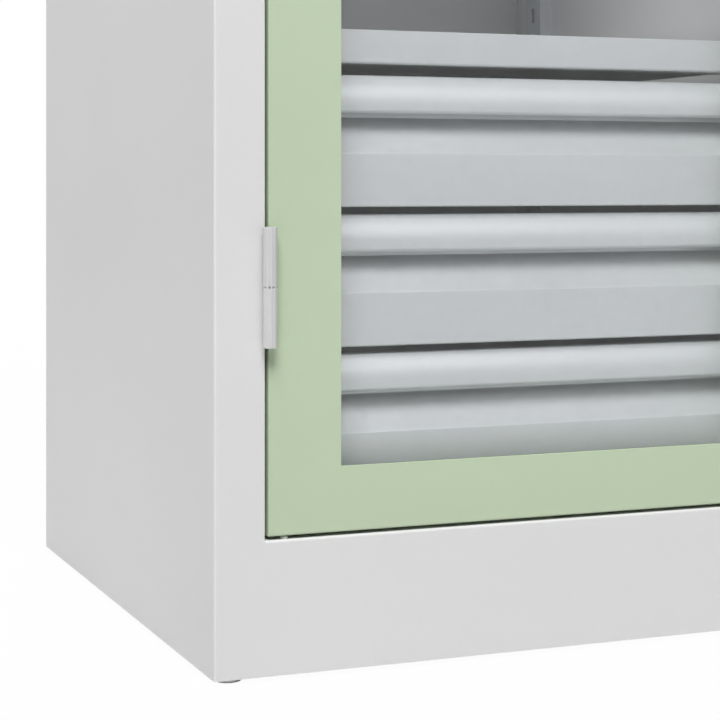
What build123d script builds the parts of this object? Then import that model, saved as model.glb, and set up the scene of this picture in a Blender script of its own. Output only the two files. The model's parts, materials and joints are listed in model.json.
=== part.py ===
"""Heavy-duty cabinet with two inset window doors, a centre partition, shelves
and a stack of three drawers behind the left door.

Millimetres. X runs to the right seen from the front, Y runs from the front to
the rear, Z runs up. The origin is on the floor, in the middle of the outer box.
"""
import os
from build123d import *

os.makedirs("parts", exist_ok=True)

# Outer size of the cabinet body
width = 1000
height = 1950
depth = 500
foot_gap = 3

# Body sheet metal
body_sheet = 1.5
body_bend = 2.0
stile = 36
stile_return = 24
return_fold = 12
rear_flange = 20
plinth_height = 92.5
plinth_flange = 20
head_height = 45
head_flange = 15
stop_height = 12.5
stop_gap = 4
floor_flange = 25
roof_flange = 20
partition_width = 28

# Levelling feet
foot_radius = 10
foot_sides = 24
foot_inset = 14
stud_radius = 5
stud_sides = 12
stud_length = 24
foot_plate_sheet = 3
thread_clearance = 0.05

# Slotted uprights
upright_sheet = 1.5
upright_width = 30
upright_reach = 33
partition_upright_reach = 12
upright_setback = 60
slot_width = 6
slot_height = 14
slot_pitch = 100
first_slot = 20
upright_top_gap = 25

# Shelves and the clips that carry them
shelf_sheet = 1.2
shelf_setback = 38
shelf_rear_gap = 3
shelf_side_gap = 0.5
shelf_flange = 20.5
shelf_lip = 24.3
shelf_hem = 30
shelf_bend = 2
clip_sheet = 2
clip_width = 16
clip_height = 18
clip_tab = 14
lug_width = 5
lug_height = 10
lug_drop = 4
left_shelf_slots = (3, 8, 12)
right_shelf_slots = (3, 6, 10, 14)

# Doors
door_depth = 22
door_sheet = 1.2
door_bend = 1.5
door_return = 15
door_side_gap = 2.8
door_end_gap = 2.5
door_meeting_gap = 3
window_stile = 53.5
window_rail = 45.5
pane_thickness = 3
pane_overlap = 8
gasket_thickness = 2
liner_edge_gap = 0.2
liner_setback = 3.5
glide_radius = 2.75
glide_sides = 8
glide_setback = 5
glide_inset = 13
glide_gap = 0.4

# Barrel hinges on the front, over the gap between stile and door and a little towards the door
barrel_radius = 5
barrel_sides = 12
barrel_gap = 0.8
barrel_shift = 0.4
knuckle_height = 41
knuckle_gap = 0.3
pin_radius = 3
pin_sides = 20
pin_clearance = 0.05
pin_end_gap = 1.5
leaf_thickness = 2
leaf_height = 34
leaf_depth = 17
low_hinge_height = 268
high_hinge_drop = 268

# Magnetic catches on the partition
magnet_width = 10
magnet_height = 45
magnet_gap = 0.5
magnet_heights = (600, 1400)

# Lock: lever, cam and two rods in the right door
handle_height = 1050
lever_length = 96
lever_thickness = 12
lever_root_radius = 13
lever_tip_radius = 9
lever_edge = 2.5
neck_radius = 9.5
handle_reach = 24
rosette_radius = 17
rosette_thickness = 4
turning_gap = 0.3
spindle_radius = 6
spindle_clearance = 0.1
spindle_square = 8
skin_hole_radius = 8
plug_radius = 7
plug_clearance = 0.08
plug_length = 15
key_slot_width = 2
key_slot_height = 9
key_slot_depth = 6
cam_setback = 7
cam_thickness = 3
cam_width = 14
cam_end_wall = 5
cam_pin_radius = 3
cam_pin_length = 5
rod_travel = 18
rod_gap = 0.4
rod_thickness = 4
rod_slot_clearance = 0.6
rod_slot_wall = 2.2
rod_end_wall = 5
rod_hole_clearance = 0.7
rod_end_gap = 0.5
case_sheet = 1.5
case_height = 70
case_half_width = 21
guide_height = 14
guide_clearance = 0.4
guide_sheet = 1.5
guide_distances = (60, 420)
strike_thickness = 2
strike_margin = 8

# Drawers behind the left door
drawer_count = 3
drawer_pitch = 100
drawer_setback = 38
drawer_floor_gap = 13.5
drawer_front_height = 94.7
drawer_door_clearance = 60
drawer_length = 420
drawer_sheet = 1.0
drawer_flat_height = 38.4
drawer_recess_depth = 16
drawer_recess_height = 64.5
drawer_bend = 1.4
drawer_foot_flange = 12
roll_height = 24.5
roll_depth = 5.5
hem_radius = 1.2
hem_angle = 170
tray_height = 80
tray_lift = 4
tray_rim = 8

# Telescopic drawer slides, three nested channels
slide_width = 12.7
slide_height = 45
slide_sheet = 1.2
slide_length = 400
slide_front_gap = 19
slide_running_gap = 0.4
slide_web_gap = 0.8
rail_lip = 9
carrier_sheet = 1.5
carrier_height = 44
carrier_strip = 2

# Levels, from the floor up
base = foot_gap
ledge_z = base + plinth_height
floor_z = ledge_z + stop_height
roof_z = height - body_sheet
head_z = height - head_height
door_bottom = ledge_z + door_end_gap
door_top = head_z - door_end_gap
door_height = door_top - door_bottom
door_middle_z = (door_top + door_bottom) / 2
upright_top = roof_z - upright_top_gap

# Depths, from the front to the rear; the lever stands furthest out
front = handle_reach - (depth + handle_reach) / 2
rear = front + depth
stop_y = front + door_depth + stop_gap
inner_front = stop_y + body_sheet
back_y = rear - 2 * body_sheet
front_upright_y = front + upright_setback
rear_upright_y = rear - upright_setback

# Distances from the middle plane to either side
side_face = width / 2 - body_sheet
inner_bend = body_bend - body_sheet
jamb = width / 2 - stile
door_edge = jamb - door_side_gap
door_free = door_meeting_gap / 2
door_width = door_edge - door_free
door_middle_x = (door_edge + door_free) / 2
hinge_x = jamb - door_side_gap / 2 - barrel_shift
hinge_y = front - barrel_gap - barrel_radius
upright_face = side_face - upright_reach
partition_face = partition_width / 2
partition_upright_face = partition_face + partition_upright_reach


def save(piece, name):
    """Label a finished piece and write it to its own file."""
    piece.part.label = name
    export_step(piece.part, f"parts/{name}.step")


def facing(y):
    """The upright plane at depth y that faces the front, local x to the right and y up."""
    return Plane.XZ.offset(-y)


def folded(points, thickness, side, bends=0):
    """The closed section of a sheet folded along points, its thickness to one side.

    bends is the radius of every fold, or one radius for each, 0 where the fold is sharp.
    """
    with BuildLine() as section:
        FilletPolyline(*points, radius=bends)
        offset(amount=thickness, side=side, kind=Kind.INTERSECTION)
    make_face(section.edges())


def block(low, high, mode=Mode.ADD):
    """A block between two opposite corners."""
    size = [top - bottom for bottom, top in zip(low, high)]
    with Locations(tuple(low)):
        Box(*size, align=(Align.MIN, Align.MIN, Align.MIN), mode=mode)


# Side wall with its front stile folded round and a flange at the rear
with BuildPart() as left_side:
    with BuildSketch(Plane.XY.offset(base)):
        folded(
            [
                (-width / 2 + rear_flange, rear),
                (-width / 2, rear),
                (-width / 2, front),
                (-jamb, front),
                (-jamb, front + stile_return),
                (-jamb - return_fold, front + stile_return),
            ],
            body_sheet,
            Side.LEFT,
            [body_bend, body_bend, 0, 0],
        )
    extrude(amount=roof_z - base)
save(left_side, "left_side")

with BuildPart() as right_side:
    mirror(left_side.part, about=Plane.YZ)
save(right_side, "right_side")

# Back sheet, welded inside the rear flanges
with BuildPart() as back_panel:
    half_back = side_face - inner_bend
    block((-half_back, back_y, base), (half_back, back_y + body_sheet, roof_z))
save(back_panel, "back_panel")

# Roof sheet with a flange down inside each side wall
with BuildPart() as top_panel:
    block((-width / 2, front, roof_z), (width / 2, rear, height))
    flange_front = front + stile_return
    block((-side_face, flange_front, roof_z - roof_flange), (body_sheet - side_face, back_y, roof_z))
    block((side_face - body_sheet, flange_front, roof_z - roof_flange), (side_face, back_y, roof_z))
save(top_panel, "top_panel")

# Shelf-like floor, turned down at the front, the rear and both sides
with BuildPart() as floor_panel:
    with BuildSketch(Plane.YZ.offset(-side_face)):
        folded(
            [
                (inner_front, ledge_z),
                (inner_front, floor_z),
                (back_y, floor_z),
                (back_y, floor_z - floor_flange),
            ],
            body_sheet,
            Side.RIGHT,
        )
    extrude(amount=2 * side_face)
    for low_x in (-side_face, side_face - body_sheet):
        block(
            (low_x, inner_front + body_sheet, floor_z - floor_flange),
            (low_x + body_sheet, back_y - body_sheet, floor_z - body_sheet),
        )
save(floor_panel, "floor_panel")


def rod_holes(sheet_bottom):
    """Cut the holes that the two lock rods pass through in a level sheet."""
    for rod_x, rod_z in ((upper_rod_x, head_z), (lower_rod_x, ledge_z - body_sheet)):
        if rod_z == sheet_bottom:
            block(
                (rod_x - rod_hole_half, rod_front - rod_hole_clearance, sheet_bottom),
                (rod_x + rod_hole_half, rod_rear + rod_hole_clearance, sheet_bottom + body_sheet),
                mode=Mode.SUBTRACT,
            )


# Lock geometry: the cam pins stand diagonally at rest and sweep a quarter turn
handle_x = door_free + window_stile / 2
pin_offset = rod_travel / 2
pin_circle = pin_offset * 2 ** 0.5
slot_near = pin_offset - cam_pin_radius - rod_slot_clearance
slot_far = pin_circle + cam_pin_radius + rod_slot_clearance
rod_offset = (slot_near + slot_far) / 2
rod_width = slot_far - slot_near + 2 * rod_slot_wall
upper_rod_x = handle_x - rod_offset
lower_rod_x = handle_x + rod_offset
cam_front = front + cam_setback
rod_front = cam_front + cam_thickness + rod_gap
rod_rear = rod_front + rod_thickness
rod_hole_half = rod_width / 2 + rod_hole_clearance

# Plinth across the front, folded back under the doors and up into a stop lip
with BuildPart() as plinth_front:
    with BuildSketch(Plane.YZ.offset(-jamb)):
        folded(
            [
                (front + plinth_flange, base),
                (front, base),
                (front, ledge_z),
                (stop_y, ledge_z),
                (stop_y, floor_z),
            ],
            body_sheet,
            Side.RIGHT,
            [0, body_bend, 0],
        )
    extrude(amount=2 * jamb)
    rod_holes(ledge_z - body_sheet)
save(plinth_front, "plinth_front")

# Head rail, the same fold upside down
with BuildPart() as head_rail:
    with BuildSketch(Plane.YZ.offset(-jamb)):
        folded(
            [
                (front + head_flange, roof_z),
                (front, roof_z),
                (front, head_z),
                (stop_y, head_z),
                (stop_y, head_z - stop_height),
            ],
            body_sheet,
            Side.LEFT,
            [0, body_bend, 0],
        )
    extrude(amount=2 * jamb)
    rod_holes(head_z)
save(head_rail, "head_rail")

# Centre partition, one sheet folded to a channel against the back
with BuildPart() as centre_partition:
    with BuildSketch(Plane.XY.offset(floor_z)):
        folded(
            [
                (-partition_face, back_y),
                (-partition_face, inner_front),
                (partition_face, inner_front),
                (partition_face, back_y),
            ],
            body_sheet,
            Side.LEFT,
        )
    extrude(amount=roof_z - floor_z)
save(centre_partition, "centre_partition")

# Slotted uprights, front and rear, on both side walls and both partition walls
slot_count = int((upright_top - floor_z - first_slot) // slot_pitch)
slots_middle_z = floor_z + first_slot + (slot_count - 1) * slot_pitch / 2
upright_walls = (
    (-side_face, 1, upright_reach),
    (-partition_face, -1, partition_upright_reach),
    (partition_face, 1, partition_upright_reach),
    (side_face, -1, upright_reach),
)
with BuildPart() as slotted_uprights:
    for wall_x, inward, reach in upright_walls:
        face_x = wall_x + inward * reach
        for middle_y in (front_upright_y, rear_upright_y):
            with BuildSketch(Plane.XY.offset(floor_z)):
                folded(
                    [
                        (wall_x, middle_y - upright_width / 2),
                        (face_x, middle_y - upright_width / 2),
                        (face_x, middle_y + upright_width / 2),
                        (wall_x, middle_y + upright_width / 2),
                    ],
                    upright_sheet,
                    Side.LEFT if inward > 0 else Side.RIGHT,
                )
            extrude(amount=upright_top - floor_z)
            slot_plane = Plane((face_x, middle_y, slots_middle_z), x_dir=(0, 1, 0), z_dir=(inward, 0, 0))
            with BuildSketch(slot_plane):
                with GridLocations(slot_pitch, slot_pitch, 1, slot_count):
                    Rectangle(slot_width, slot_height)
            extrude(amount=-upright_sheet, mode=Mode.SUBTRACT)
save(slotted_uprights, "slotted_uprights")


def shelf_top(slot_number):
    """Height of a shelf whose clips hang in the given slot."""
    return floor_z + first_slot + slot_number * slot_pitch + shelf_flange


def shelf(low_x, high_x, top_z):
    """A shelf folded down all round, with its front lip turned back underneath."""
    shelf_front = front + shelf_setback
    shelf_rear = back_y - shelf_rear_gap
    with BuildPart() as board:
        with BuildSketch(Plane.YZ.offset(low_x)):
            folded(
                [
                    (shelf_rear, top_z - shelf_flange),
                    (shelf_rear, top_z),
                    (shelf_front, top_z),
                    (shelf_front, top_z - shelf_lip),
                    (shelf_front + shelf_hem, top_z - shelf_lip),
                ],
                shelf_sheet,
                Side.LEFT,
                [0, 0, shelf_bend],
            )
        extrude(amount=high_x - low_x)
        for edge_x in (low_x, high_x - shelf_sheet):
            block(
                (edge_x, shelf_front + shelf_hem, top_z - shelf_flange),
                (edge_x + shelf_sheet, shelf_rear - shelf_sheet, top_z - shelf_sheet),
            )
    return board


outer_shelf_x = upright_face - clip_sheet - shelf_side_gap
inner_shelf_x = partition_upright_face + clip_sheet + shelf_side_gap
for number, slot_number in enumerate(left_shelf_slots, start=1):
    left_shelf = shelf(-outer_shelf_x, -inner_shelf_x, shelf_top(slot_number))
    save(left_shelf, f"left_shelf_{number}")
for number, slot_number in enumerate(right_shelf_slots, start=1):
    right_shelf = shelf(inner_shelf_x, outer_shelf_x, shelf_top(slot_number))
    save(right_shelf, f"right_shelf_{number}")


def clip(face_x, inward, middle_y, tab_z):
    """An angle clip with a lug that hooks down behind the slot of its upright."""
    lug_back = face_x - inward * (upright_sheet + turning_gap)
    lug_end = lug_back - inward * clip_sheet
    with BuildSketch(facing(middle_y)) as angle:
        Polygon(
            (face_x, tab_z - clip_height),
            (face_x, tab_z),
            (face_x + inward * clip_tab, tab_z),
            (face_x + inward * clip_tab, tab_z - clip_sheet),
            (face_x + inward * clip_sheet, tab_z - clip_sheet),
            (face_x + inward * clip_sheet, tab_z - clip_height),
            align=None,
        )
    extrude(angle.sketch, amount=clip_width / 2, both=True)
    with BuildSketch(facing(middle_y)) as lug:
        Polygon(
            (face_x, tab_z),
            (face_x, tab_z - lug_height / 2),
            (lug_back, tab_z - lug_height / 2),
            (lug_back, tab_z - lug_height / 2 - lug_drop),
            (lug_end, tab_z - lug_height / 2 - lug_drop),
            (lug_end, tab_z),
            align=None,
        )
    extrude(lug.sketch, amount=lug_width / 2, both=True)


with BuildPart() as shelf_clips:
    for inner_sign, outer_sign, slot_numbers in ((-1, 1, left_shelf_slots), (1, -1, right_shelf_slots)):
        for slot_number in slot_numbers:
            tab_z = shelf_top(slot_number) - shelf_flange
            for middle_y in (front_upright_y, rear_upright_y):
                clip(inner_sign * partition_upright_face, inner_sign, middle_y, tab_z)
                clip(inner_sign * upright_face, outer_sign, middle_y, tab_z)
save(shelf_clips, "shelf_clips")

# Levelling feet: a tapped plate in each corner, and a disc with its stud below
foot_plate_width = stile - 2 * body_sheet - inner_bend
foot_plate_depth = stile_return - 2 * body_sheet - inner_bend
foot_x = width / 2 - foot_inset
front_foot_y = front + foot_inset
rear_foot_y = back_y - foot_inset + body_sheet
foot_places = [(x, y) for x in (-foot_x, foot_x) for y in (front_foot_y, rear_foot_y)]

with BuildPart() as foot_plates:
    for x in (inner_bend - side_face, side_face - inner_bend - foot_plate_width):
        for y in (front + body_sheet + inner_bend, back_y - foot_plate_depth):
            block((x, y, base), (x + foot_plate_width, y + foot_plate_depth, base + foot_plate_sheet))
    with BuildSketch(Plane.XY.offset(base)):
        with Locations(*foot_places):
            RegularPolygon(stud_radius + thread_clearance, stud_sides)
    extrude(amount=foot_plate_sheet, mode=Mode.SUBTRACT)
save(foot_plates, "foot_plates")

with BuildPart() as levelling_feet:
    with BuildSketch():
        with Locations(*foot_places):
            RegularPolygon(foot_radius, foot_sides)
    extrude(amount=foot_gap)
    with BuildSketch(Plane.XY.offset(foot_gap)):
        with Locations(*foot_places):
            RegularPolygon(stud_radius, stud_sides)
    extrude(amount=stud_length)
save(levelling_feet, "levelling_feet")

# Left door: a sheet pan with the window cut out of its face
with BuildPart() as left_door_panel:
    with BuildSketch(facing(front)):
        with Locations((-door_middle_x, door_middle_z)):
            Rectangle(door_width, door_height)
    extrude(amount=-door_depth)
    fillet(left_door_panel.edges().group_by(Axis.Y)[0], radius=door_bend)
    with BuildSketch(facing(front + door_sheet)):
        with Locations((-door_middle_x, door_middle_z)):
            Rectangle(door_width - 2 * door_sheet, door_height - 2 * door_sheet)
    extrude(amount=2 * door_sheet - door_depth, mode=Mode.SUBTRACT)
    with BuildSketch(facing(front + door_depth)):
        with Locations((-door_middle_x, door_middle_z)):
            Rectangle(door_width - 2 * door_return, door_height - 2 * door_return)
    extrude(amount=door_sheet, mode=Mode.SUBTRACT)
    with BuildSketch(facing(front)):
        with Locations((-door_middle_x, door_middle_z)):
            Rectangle(door_width - 2 * window_stile, door_height - 2 * window_rail)
    extrude(amount=-door_sheet, mode=Mode.SUBTRACT)
save(left_door_panel, "left_door_panel")


def window_ring(growth, window_growth, near_y, far_y):
    """A flat frame round the left door's window, between two depths."""
    window_width = door_width - 2 * window_stile
    window_height = door_height - 2 * window_rail
    with BuildSketch(facing(near_y)) as ring:
        with Locations((-door_middle_x, door_middle_z)):
            Rectangle(window_width + 2 * growth, window_height + 2 * growth)
            if window_growth is not None:
                Rectangle(
                    window_width + 2 * window_growth,
                    window_height + 2 * window_growth,
                    mode=Mode.SUBTRACT,
                )
    extrude(ring.sketch, amount=near_y - far_y)


# Window seal, pane, and the inner frame that closes the door to a box section
gasket_front = front + door_sheet
pane_front = gasket_front + gasket_thickness
pane_rear = pane_front + pane_thickness
liner_rear = front + door_depth - door_sheet
liner_front = liner_rear - door_sheet
with BuildPart() as left_door_gasket:
    window_ring(pane_overlap, 0, gasket_front, pane_front)
save(left_door_gasket, "left_door_gasket")

with BuildPart() as left_door_pane:
    window_ring(pane_overlap, None, pane_front, pane_rear)
save(left_door_pane, "left_door_pane")

with BuildPart() as left_door_liner:
    with BuildSketch(facing(liner_front)):
        with Locations((-door_middle_x, door_middle_z)):
            Rectangle(
                door_width - 2 * (door_sheet + liner_edge_gap),
                door_height - 2 * (door_sheet + liner_edge_gap),
            )
            Rectangle(
                door_width - 2 * (window_stile - liner_setback),
                door_height - 2 * (window_rail - liner_setback),
                mode=Mode.SUBTRACT,
            )
    extrude(amount=liner_front - liner_rear)
    window_ring(liner_setback + door_sheet, liner_setback, pane_rear, liner_front)
save(left_door_liner, "left_door_liner")

# Right door: the left one mirrored, with a hole for the spindle and two for the rods
with BuildPart() as right_door_panel:
    mirror(left_door_panel.part, about=Plane.YZ)
    with BuildSketch(facing(front)):
        with Locations((handle_x, handle_height)):
            Circle(skin_hole_radius)
    extrude(amount=-door_sheet, mode=Mode.SUBTRACT)
    for rod_x, low_z in ((upper_rod_x, door_top - door_sheet), (lower_rod_x, door_bottom)):
        block(
            (rod_x - rod_hole_half, rod_front - rod_hole_clearance, low_z),
            (rod_x + rod_hole_half, rod_rear + rod_hole_clearance, low_z + door_sheet),
            mode=Mode.SUBTRACT,
        )
save(right_door_panel, "right_door_panel")

for left_piece, name in (
    (left_door_gasket, "right_door_gasket"),
    (left_door_pane, "right_door_pane"),
    (left_door_liner, "right_door_liner"),
):
    with BuildPart() as right_piece:
        mirror(left_piece.part, about=Plane.YZ)
    save(right_piece, name)

# Nylon glides on the plinth that catch a door's lower edge as it closes
with BuildPart() as door_glides:
    glide_places = [
        (sign * x, front + glide_setback)
        for sign in (-1, 1)
        for x in (door_edge - glide_inset, door_free + glide_inset)
    ]
    with BuildSketch(Plane.XY.offset(ledge_z)):
        with Locations(*glide_places):
            RegularPolygon(glide_radius, glide_sides)
    extrude(amount=door_end_gap - glide_gap)
save(door_glides, "door_glides")

# Barrel hinges: fixed knuckles below, door knuckles lifted onto their pins from above
hinge_heights = (low_hinge_height, (low_hinge_height + height - high_hinge_drop) / 2, height - high_hinge_drop)
half_gap = knuckle_gap / 2


def knuckle(side, hinge_z, up, wall_x, inward):
    """One half of a hinge: a bored barrel with a leaf that runs back into the door gap."""
    low_z = hinge_z + half_gap if up else hinge_z - half_gap - knuckle_height
    leaf_z = hinge_z + up * (half_gap + knuckle_height / 2) - (not up) * (half_gap + knuckle_height / 2)
    with BuildSketch(Plane.XY.offset(low_z)) as barrel:
        with Locations((side * hinge_x, hinge_y)):
            RegularPolygon(barrel_radius, barrel_sides)
    extrude(barrel.sketch, amount=knuckle_height)
    near_x, far_x = sorted((wall_x, wall_x + inward * leaf_thickness))
    block(
        (near_x, hinge_y, leaf_z - leaf_height / 2),
        (far_x, hinge_y + leaf_depth, leaf_z + leaf_height / 2),
    )
    with BuildSketch(Plane.XY.offset(low_z)) as bore:
        with Locations((side * hinge_x, hinge_y)):
            Circle(pin_radius + pin_clearance)
    extrude(bore.sketch, amount=knuckle_height, mode=Mode.SUBTRACT)


with BuildPart() as frame_knuckles:
    for side in (-1, 1):
        for hinge_z in hinge_heights:
            knuckle(side, hinge_z, False, side * jamb, -side)
save(frame_knuckles, "frame_knuckles")

for side, name in ((-1, "left_door_knuckles"), (1, "right_door_knuckles")):
    with BuildPart() as door_knuckles:
        for hinge_z in hinge_heights:
            knuckle(side, hinge_z, True, side * door_edge, side)
    save(door_knuckles, name)

with BuildPart() as hinge_pins:
    for hinge_z in hinge_heights:
        with BuildSketch(Plane.XY.offset(hinge_z - knuckle_height + pin_end_gap)):
            with Locations((-hinge_x, hinge_y), (hinge_x, hinge_y)):
                RegularPolygon(pin_radius, pin_sides)
        extrude(amount=2 * (knuckle_height - pin_end_gap))
save(hinge_pins, "hinge_pins")

# Magnetic catches on the partition edge, just behind the doors
with BuildPart() as catch_magnets:
    for low_x in (-partition_face, partition_face - magnet_width):
        for middle_z in magnet_heights:
            block(
                (low_x, front + door_depth + magnet_gap, middle_z - magnet_height / 2),
                (low_x + magnet_width, inner_front, middle_z + magnet_height / 2),
            )
save(catch_magnets, "catch_magnets")

# Handle: a fixed rosette, the lever on its spindle, and the key plug in the lever
lever_front = front - handle_reach
lever_rear = lever_front + lever_thickness
neck_rear = front - rosette_thickness - turning_gap
plug_rear = lever_front + plug_length
with BuildPart() as handle_rosette:
    with BuildSketch(facing(front)):
        with Locations((handle_x, handle_height)):
            Circle(rosette_radius)
            Circle(spindle_radius + spindle_clearance, mode=Mode.SUBTRACT)
    extrude(amount=rosette_thickness)
save(handle_rosette, "handle_rosette")

with BuildPart() as handle_lever:
    with BuildSketch(facing(lever_rear)):
        with Locations((handle_x, handle_height)):
            Circle(lever_root_radius)
        with Locations((handle_x + lever_length, handle_height)):
            Circle(lever_tip_radius)
        make_hull()
    extrude(amount=lever_thickness)
    chamfer(handle_lever.edges().group_by(Axis.Y)[0], length=lever_edge)
    with BuildSketch(facing(neck_rear)):
        with Locations((handle_x, handle_height)):
            Circle(neck_radius)
    extrude(amount=neck_rear - lever_rear)
    with BuildSketch(facing(lever_front)):
        with Locations((handle_x, handle_height)):
            Circle(plug_radius + plug_clearance)
    extrude(amount=-plug_length, mode=Mode.SUBTRACT)
save(handle_lever, "handle_lever")

with BuildPart() as key_plug:
    with BuildSketch(facing(lever_front)):
        with Locations((handle_x, handle_height)):
            Circle(plug_radius)
    extrude(amount=-plug_length)
    with BuildSketch(facing(lever_front)):
        with Locations((handle_x, handle_height)):
            Rectangle(key_slot_width, key_slot_height)
    extrude(amount=-key_slot_depth, mode=Mode.SUBTRACT)
save(key_plug, "key_plug")

with BuildPart() as handle_spindle:
    with BuildSketch(facing(neck_rear)):
        with Locations((handle_x, handle_height)):
            Circle(spindle_radius)
    extrude(amount=neck_rear - cam_front)
    with BuildSketch(facing(cam_front)):
        with Locations((handle_x, handle_height)):
            Rectangle(spindle_square, spindle_square)
    extrude(amount=-cam_thickness)
save(handle_spindle, "handle_spindle")

# Two-armed cam; its pins stand up and right, and down and left, of the spindle at rest
with BuildPart() as lock_cam:
    with BuildSketch(facing(cam_front)):
        with Locations((handle_x, handle_height)):
            Rectangle(2 * (pin_circle + cam_end_wall), cam_width, rotation=45)
            Rectangle(
                spindle_square + 2 * thread_clearance,
                spindle_square + 2 * thread_clearance,
                mode=Mode.SUBTRACT,
            )
    extrude(amount=-cam_thickness)
    with BuildSketch(facing(cam_front + cam_thickness)):
        with Locations(
            (handle_x - pin_offset, handle_height - pin_offset),
            (handle_x + pin_offset, handle_height + pin_offset),
        ):
            Circle(cam_pin_radius)
    extrude(amount=-cam_pin_length)
save(lock_cam, "lock_cam")


def rod(rod_x, slot_z, end_z):
    """A flat lock rod from its cross slot at the cam to its free end at the door's edge."""
    outward = 1 if end_z > slot_z else -1
    slot_half = cam_pin_radius + rod_slot_clearance
    tail_z = slot_z - outward * (slot_half + rod_end_wall)
    low_z, high_z = sorted((tail_z, end_z))
    with BuildPart() as bar:
        block((rod_x - rod_width / 2, rod_front, low_z), (rod_x + rod_width / 2, rod_rear, high_z))
        with BuildSketch(facing(rod_front)):
            with Locations((rod_x, slot_z)):
                Rectangle(slot_far - slot_near, 2 * slot_half)
        extrude(amount=-rod_thickness, mode=Mode.SUBTRACT)
    return bar


upper_rod = rod(upper_rod_x, handle_height - pin_offset, door_top - rod_end_gap)
save(upper_rod, "upper_rod")
lower_rod = rod(lower_rod_x, handle_height + pin_offset, door_bottom + rod_end_gap)
save(lower_rod, "lower_rod")

# Channel round the cam, and the clips that keep the rods against the inner frame
with BuildPart() as lock_case:
    with BuildSketch(Plane.XY.offset(handle_height - case_height / 2)):
        folded(
            [
                (handle_x - case_half_width, cam_front),
                (handle_x - case_half_width, liner_front),
                (handle_x + case_half_width, liner_front),
                (handle_x + case_half_width, cam_front),
            ],
            case_sheet,
            Side.RIGHT,
        )
    extrude(amount=case_height)
save(lock_case, "lock_case")

guide_half = rod_width / 2 + guide_clearance + guide_sheet
guide_front = rod_front - guide_clearance - guide_sheet
with BuildPart() as rod_guides:
    for rod_x, end_z, inward in ((upper_rod_x, door_top, -1), (lower_rod_x, door_bottom, 1)):
        for distance in guide_distances:
            with BuildSketch(Plane.XY.offset(end_z + inward * distance - guide_height / 2)):
                folded(
                    [
                        (rod_x - guide_half, liner_front),
                        (rod_x - guide_half, guide_front),
                        (rod_x + guide_half, guide_front),
                        (rod_x + guide_half, liner_front),
                    ],
                    guide_sheet,
                    Side.LEFT,
                )
            extrude(amount=guide_height)
save(rod_guides, "rod_guides")

# Strike plates behind the sheet that the rods shoot through
strike_half = rod_hole_half + strike_margin
with BuildPart() as rod_strikes:
    for rod_x, low_z in (
        (upper_rod_x, head_z + body_sheet),
        (lower_rod_x, ledge_z - body_sheet - strike_thickness),
    ):
        block(
            (rod_x - strike_half, rod_front - strike_margin, low_z),
            (rod_x + strike_half, rod_rear + strike_margin / 2, low_z + strike_thickness),
        )
        block(
            (rod_x - rod_hole_half, rod_front - rod_hole_clearance, low_z),
            (rod_x + rod_hole_half, rod_rear + rod_hole_clearance, low_z + strike_thickness),
            mode=Mode.SUBTRACT,
        )
save(rod_strikes, "rod_strikes")

# Drawers: the hinge side stays clear of the swinging door, the other meets the partition
drawer_y = front + drawer_setback
drawer_low_x = drawer_door_clearance - hinge_x
drawer_high_x = -partition_upright_face - carrier_strip - slide_width
tray_y = drawer_y + drawer_recess_depth + drawer_sheet
slide_y = drawer_y + slide_front_gap


def drawer_bottom(number):
    """Height of the lower edge of a drawer's front."""
    return floor_z + drawer_floor_gap + (number - 1) * drawer_pitch


def drawer_front(bottom_z):
    """A drawer front folded from one sheet, its upper edge rolled over into a grip."""
    wall_y = drawer_y + drawer_recess_depth
    roll_y = drawer_y + drawer_sheet
    top_z = bottom_z + drawer_front_height - drawer_sheet
    with BuildPart() as panel:
        with BuildSketch(Plane.YZ.offset(drawer_low_x)):
            with BuildLine():
                sheet = FilletPolyline(
                    (drawer_y + drawer_foot_flange, bottom_z),
                    (drawer_y, bottom_z),
                    (drawer_y, bottom_z + drawer_flat_height),
                    (wall_y, bottom_z + drawer_recess_height),
                    (wall_y, top_z),
                    (roll_y + roll_depth, top_z),
                    radius=[drawer_bend, drawer_bend, 0, 0],
                )
                roll = ThreePointArc(
                    sheet @ 1,
                    (roll_y, top_z - roll_height / 2),
                    (roll_y + roll_depth, top_z - roll_height),
                )
                JernArc(start=roll @ 1, tangent=roll % 1, radius=hem_radius, arc_size=hem_angle)
                offset(amount=drawer_sheet, side=Side.RIGHT, kind=Kind.INTERSECTION)
            make_face()
        extrude(amount=drawer_high_x - drawer_low_x)
    return panel


def drawer_tray(bottom_z):
    """An open sheet tray with its side walls folded in along the top."""
    low_z = bottom_z + tray_lift
    top_z = low_z + tray_height
    rear_y = drawer_y + drawer_length
    with BuildPart() as tray:
        block((drawer_low_x, tray_y, low_z), (drawer_high_x, rear_y, top_z))
        offset(amount=-drawer_sheet, openings=tray.faces().sort_by(Axis.Z)[-1])
        for rim_x in (drawer_low_x, drawer_high_x - tray_rim):
            block((rim_x, tray_y, top_z - drawer_sheet), (rim_x + tray_rim, rear_y, top_z))
    return tray


def channel(wall_x, inward, web, lip_start, lip_end, half_height, middle_z):
    """A slide member: an upright web and two lips, placed by distances from the wall."""
    lips = sorted((wall_x + inward * lip_start, wall_x + inward * lip_end))
    webs = sorted((wall_x + inward * web, wall_x + inward * (web + slide_sheet)))
    block(
        (webs[0], slide_y, middle_z - half_height),
        (webs[1], slide_y + slide_length, middle_z + half_height),
    )
    for low_z in (middle_z - half_height, middle_z + half_height - slide_sheet):
        block((lips[0], slide_y, low_z), (lips[1], slide_y + slide_length, low_z + slide_sheet))


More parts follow.
